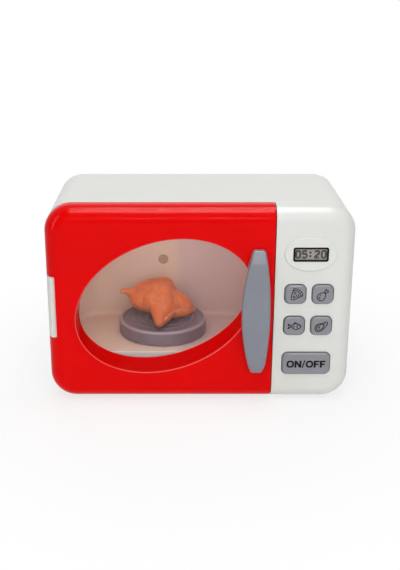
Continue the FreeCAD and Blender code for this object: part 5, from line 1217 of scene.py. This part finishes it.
class MICROWAVE_OT_display(bpy.types.Operator):
    """Finishes the display and draws its digits"""
    bl_idname = "microwave.display"
    bl_label = "Display"

    def execute(self, context):
        prints = settings().prints
        finish_nodes(moulded("bezel_black"), "display_bezel")
        finish_nodes(moulded("display_card", glass_streaks), "display_screen")
        display_digits("digit_lines", prints.digit_line, 0.0, moulded("digit_dark"))
        display_digits("digit_cores", prints.digit_core, prints.ink_height, moulded("digit_core_grey"))
        return {"FINISHED"}


class MICROWAVE_OT_works(bpy.types.Operator):
    """Finishes the drive, boards, battery box, speaker and leads"""
    bl_idname = "microwave.works"
    bl_label = "Inner works"

    def execute(self, context):
        for finish, names in WORKS_PLASTICS.items():
            finish_nodes(moulded(finish), *names)
        finish_nodes(plated("screw_zinc"), *WORKS_STEEL)
        finish_nodes(plated("contact_brass"), "battery_contacts")
        finish_nodes(moulded("board_green", copper_runs), "control_board", "lamp_board")
        finish_nodes(moulded("cell_band", copper_band), "batteries")
        return {"FINISHED"}


class MICROWAVE_OT_stage(bpy.types.Operator):
    """Sets the floor, lamps, world and camera"""
    bl_idname = "microwave.stage"
    bl_label = "Studio"

    def execute(self, context):
        studio_floor()
        studio_world()
        for lamp in LAMPS:
            soft_lamp(*lamp)
        plate_top = middle_of("turntable")
        plate_top.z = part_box("turntable")[1].z
        place = plate_top + Vector(OVEN_LAMP_PLACE)
        target = plate_top + Vector(OVEN_LAMP_TARGET)
        soft_lamp("oven_lamp", place, target, OVEN_LAMP_SIZE, "oven", True, False)
        studio_camera()
        context.scene.view_settings.view_transform = "Standard"
        return {"FINISHED"}


class MICROWAVE_PT_panel(bpy.types.Panel):
    """Lists the steps and the sizes and colours that they use"""
    bl_idname = "MICROWAVE_PT_panel"
    bl_label = "Toy microwave"
    bl_space_type = "VIEW_3D"
    bl_region_type = "UI"
    bl_category = "Toy microwave"

    def draw(self, context):
        for step in STEPS:
            self.layout.operator(step.bl_idname)
        chosen = settings()
        for group in (chosen.colours, chosen.prints, chosen.chicken, chosen.studio):
            box = self.layout.box()
            for name in group.__annotations__:
                box.prop(group, name)


STEPS = (MICROWAVE_OT_casing, MICROWAVE_OT_door, MICROWAVE_OT_oven, MICROWAVE_OT_chicken,
         MICROWAVE_OT_buttons, MICROWAVE_OT_display, MICROWAVE_OT_works, MICROWAVE_OT_stage)
SETTING_GROUPS = (MicrowaveColours, MicrowavePrints, MicrowaveChicken, MicrowaveStudio, MicrowaveSettings)
CLASSES = SETTING_GROUPS + STEPS + (MICROWAVE_PT_panel,)


def register():
    """Registers the classes and hangs the settings on the scene."""
    for item in CLASSES:
        bpy.utils.register_class(item)
    bpy.types.Scene.toy_microwave = bpy.props.PointerProperty(
        type=MicrowaveSettings, name="Toy microwave", description="Sizes and colours of the toy microwave")


def unregister():
    """Takes the settings and the classes away again."""
    del bpy.types.Scene.toy_microwave
    for item in reversed(CLASSES):
        bpy.utils.unregister_class(item)


def main():
    """Builds the looks of the part."""
    register()
    bpy.ops.microwave.casing()
    bpy.ops.microwave.door()
    bpy.ops.microwave.oven()
    bpy.ops.microwave.chicken()
    bpy.ops.microwave.buttons()
    bpy.ops.microwave.display()
    bpy.ops.microwave.works()
    bpy.ops.microwave.stage()


if __name__ == "__main__":
    main()
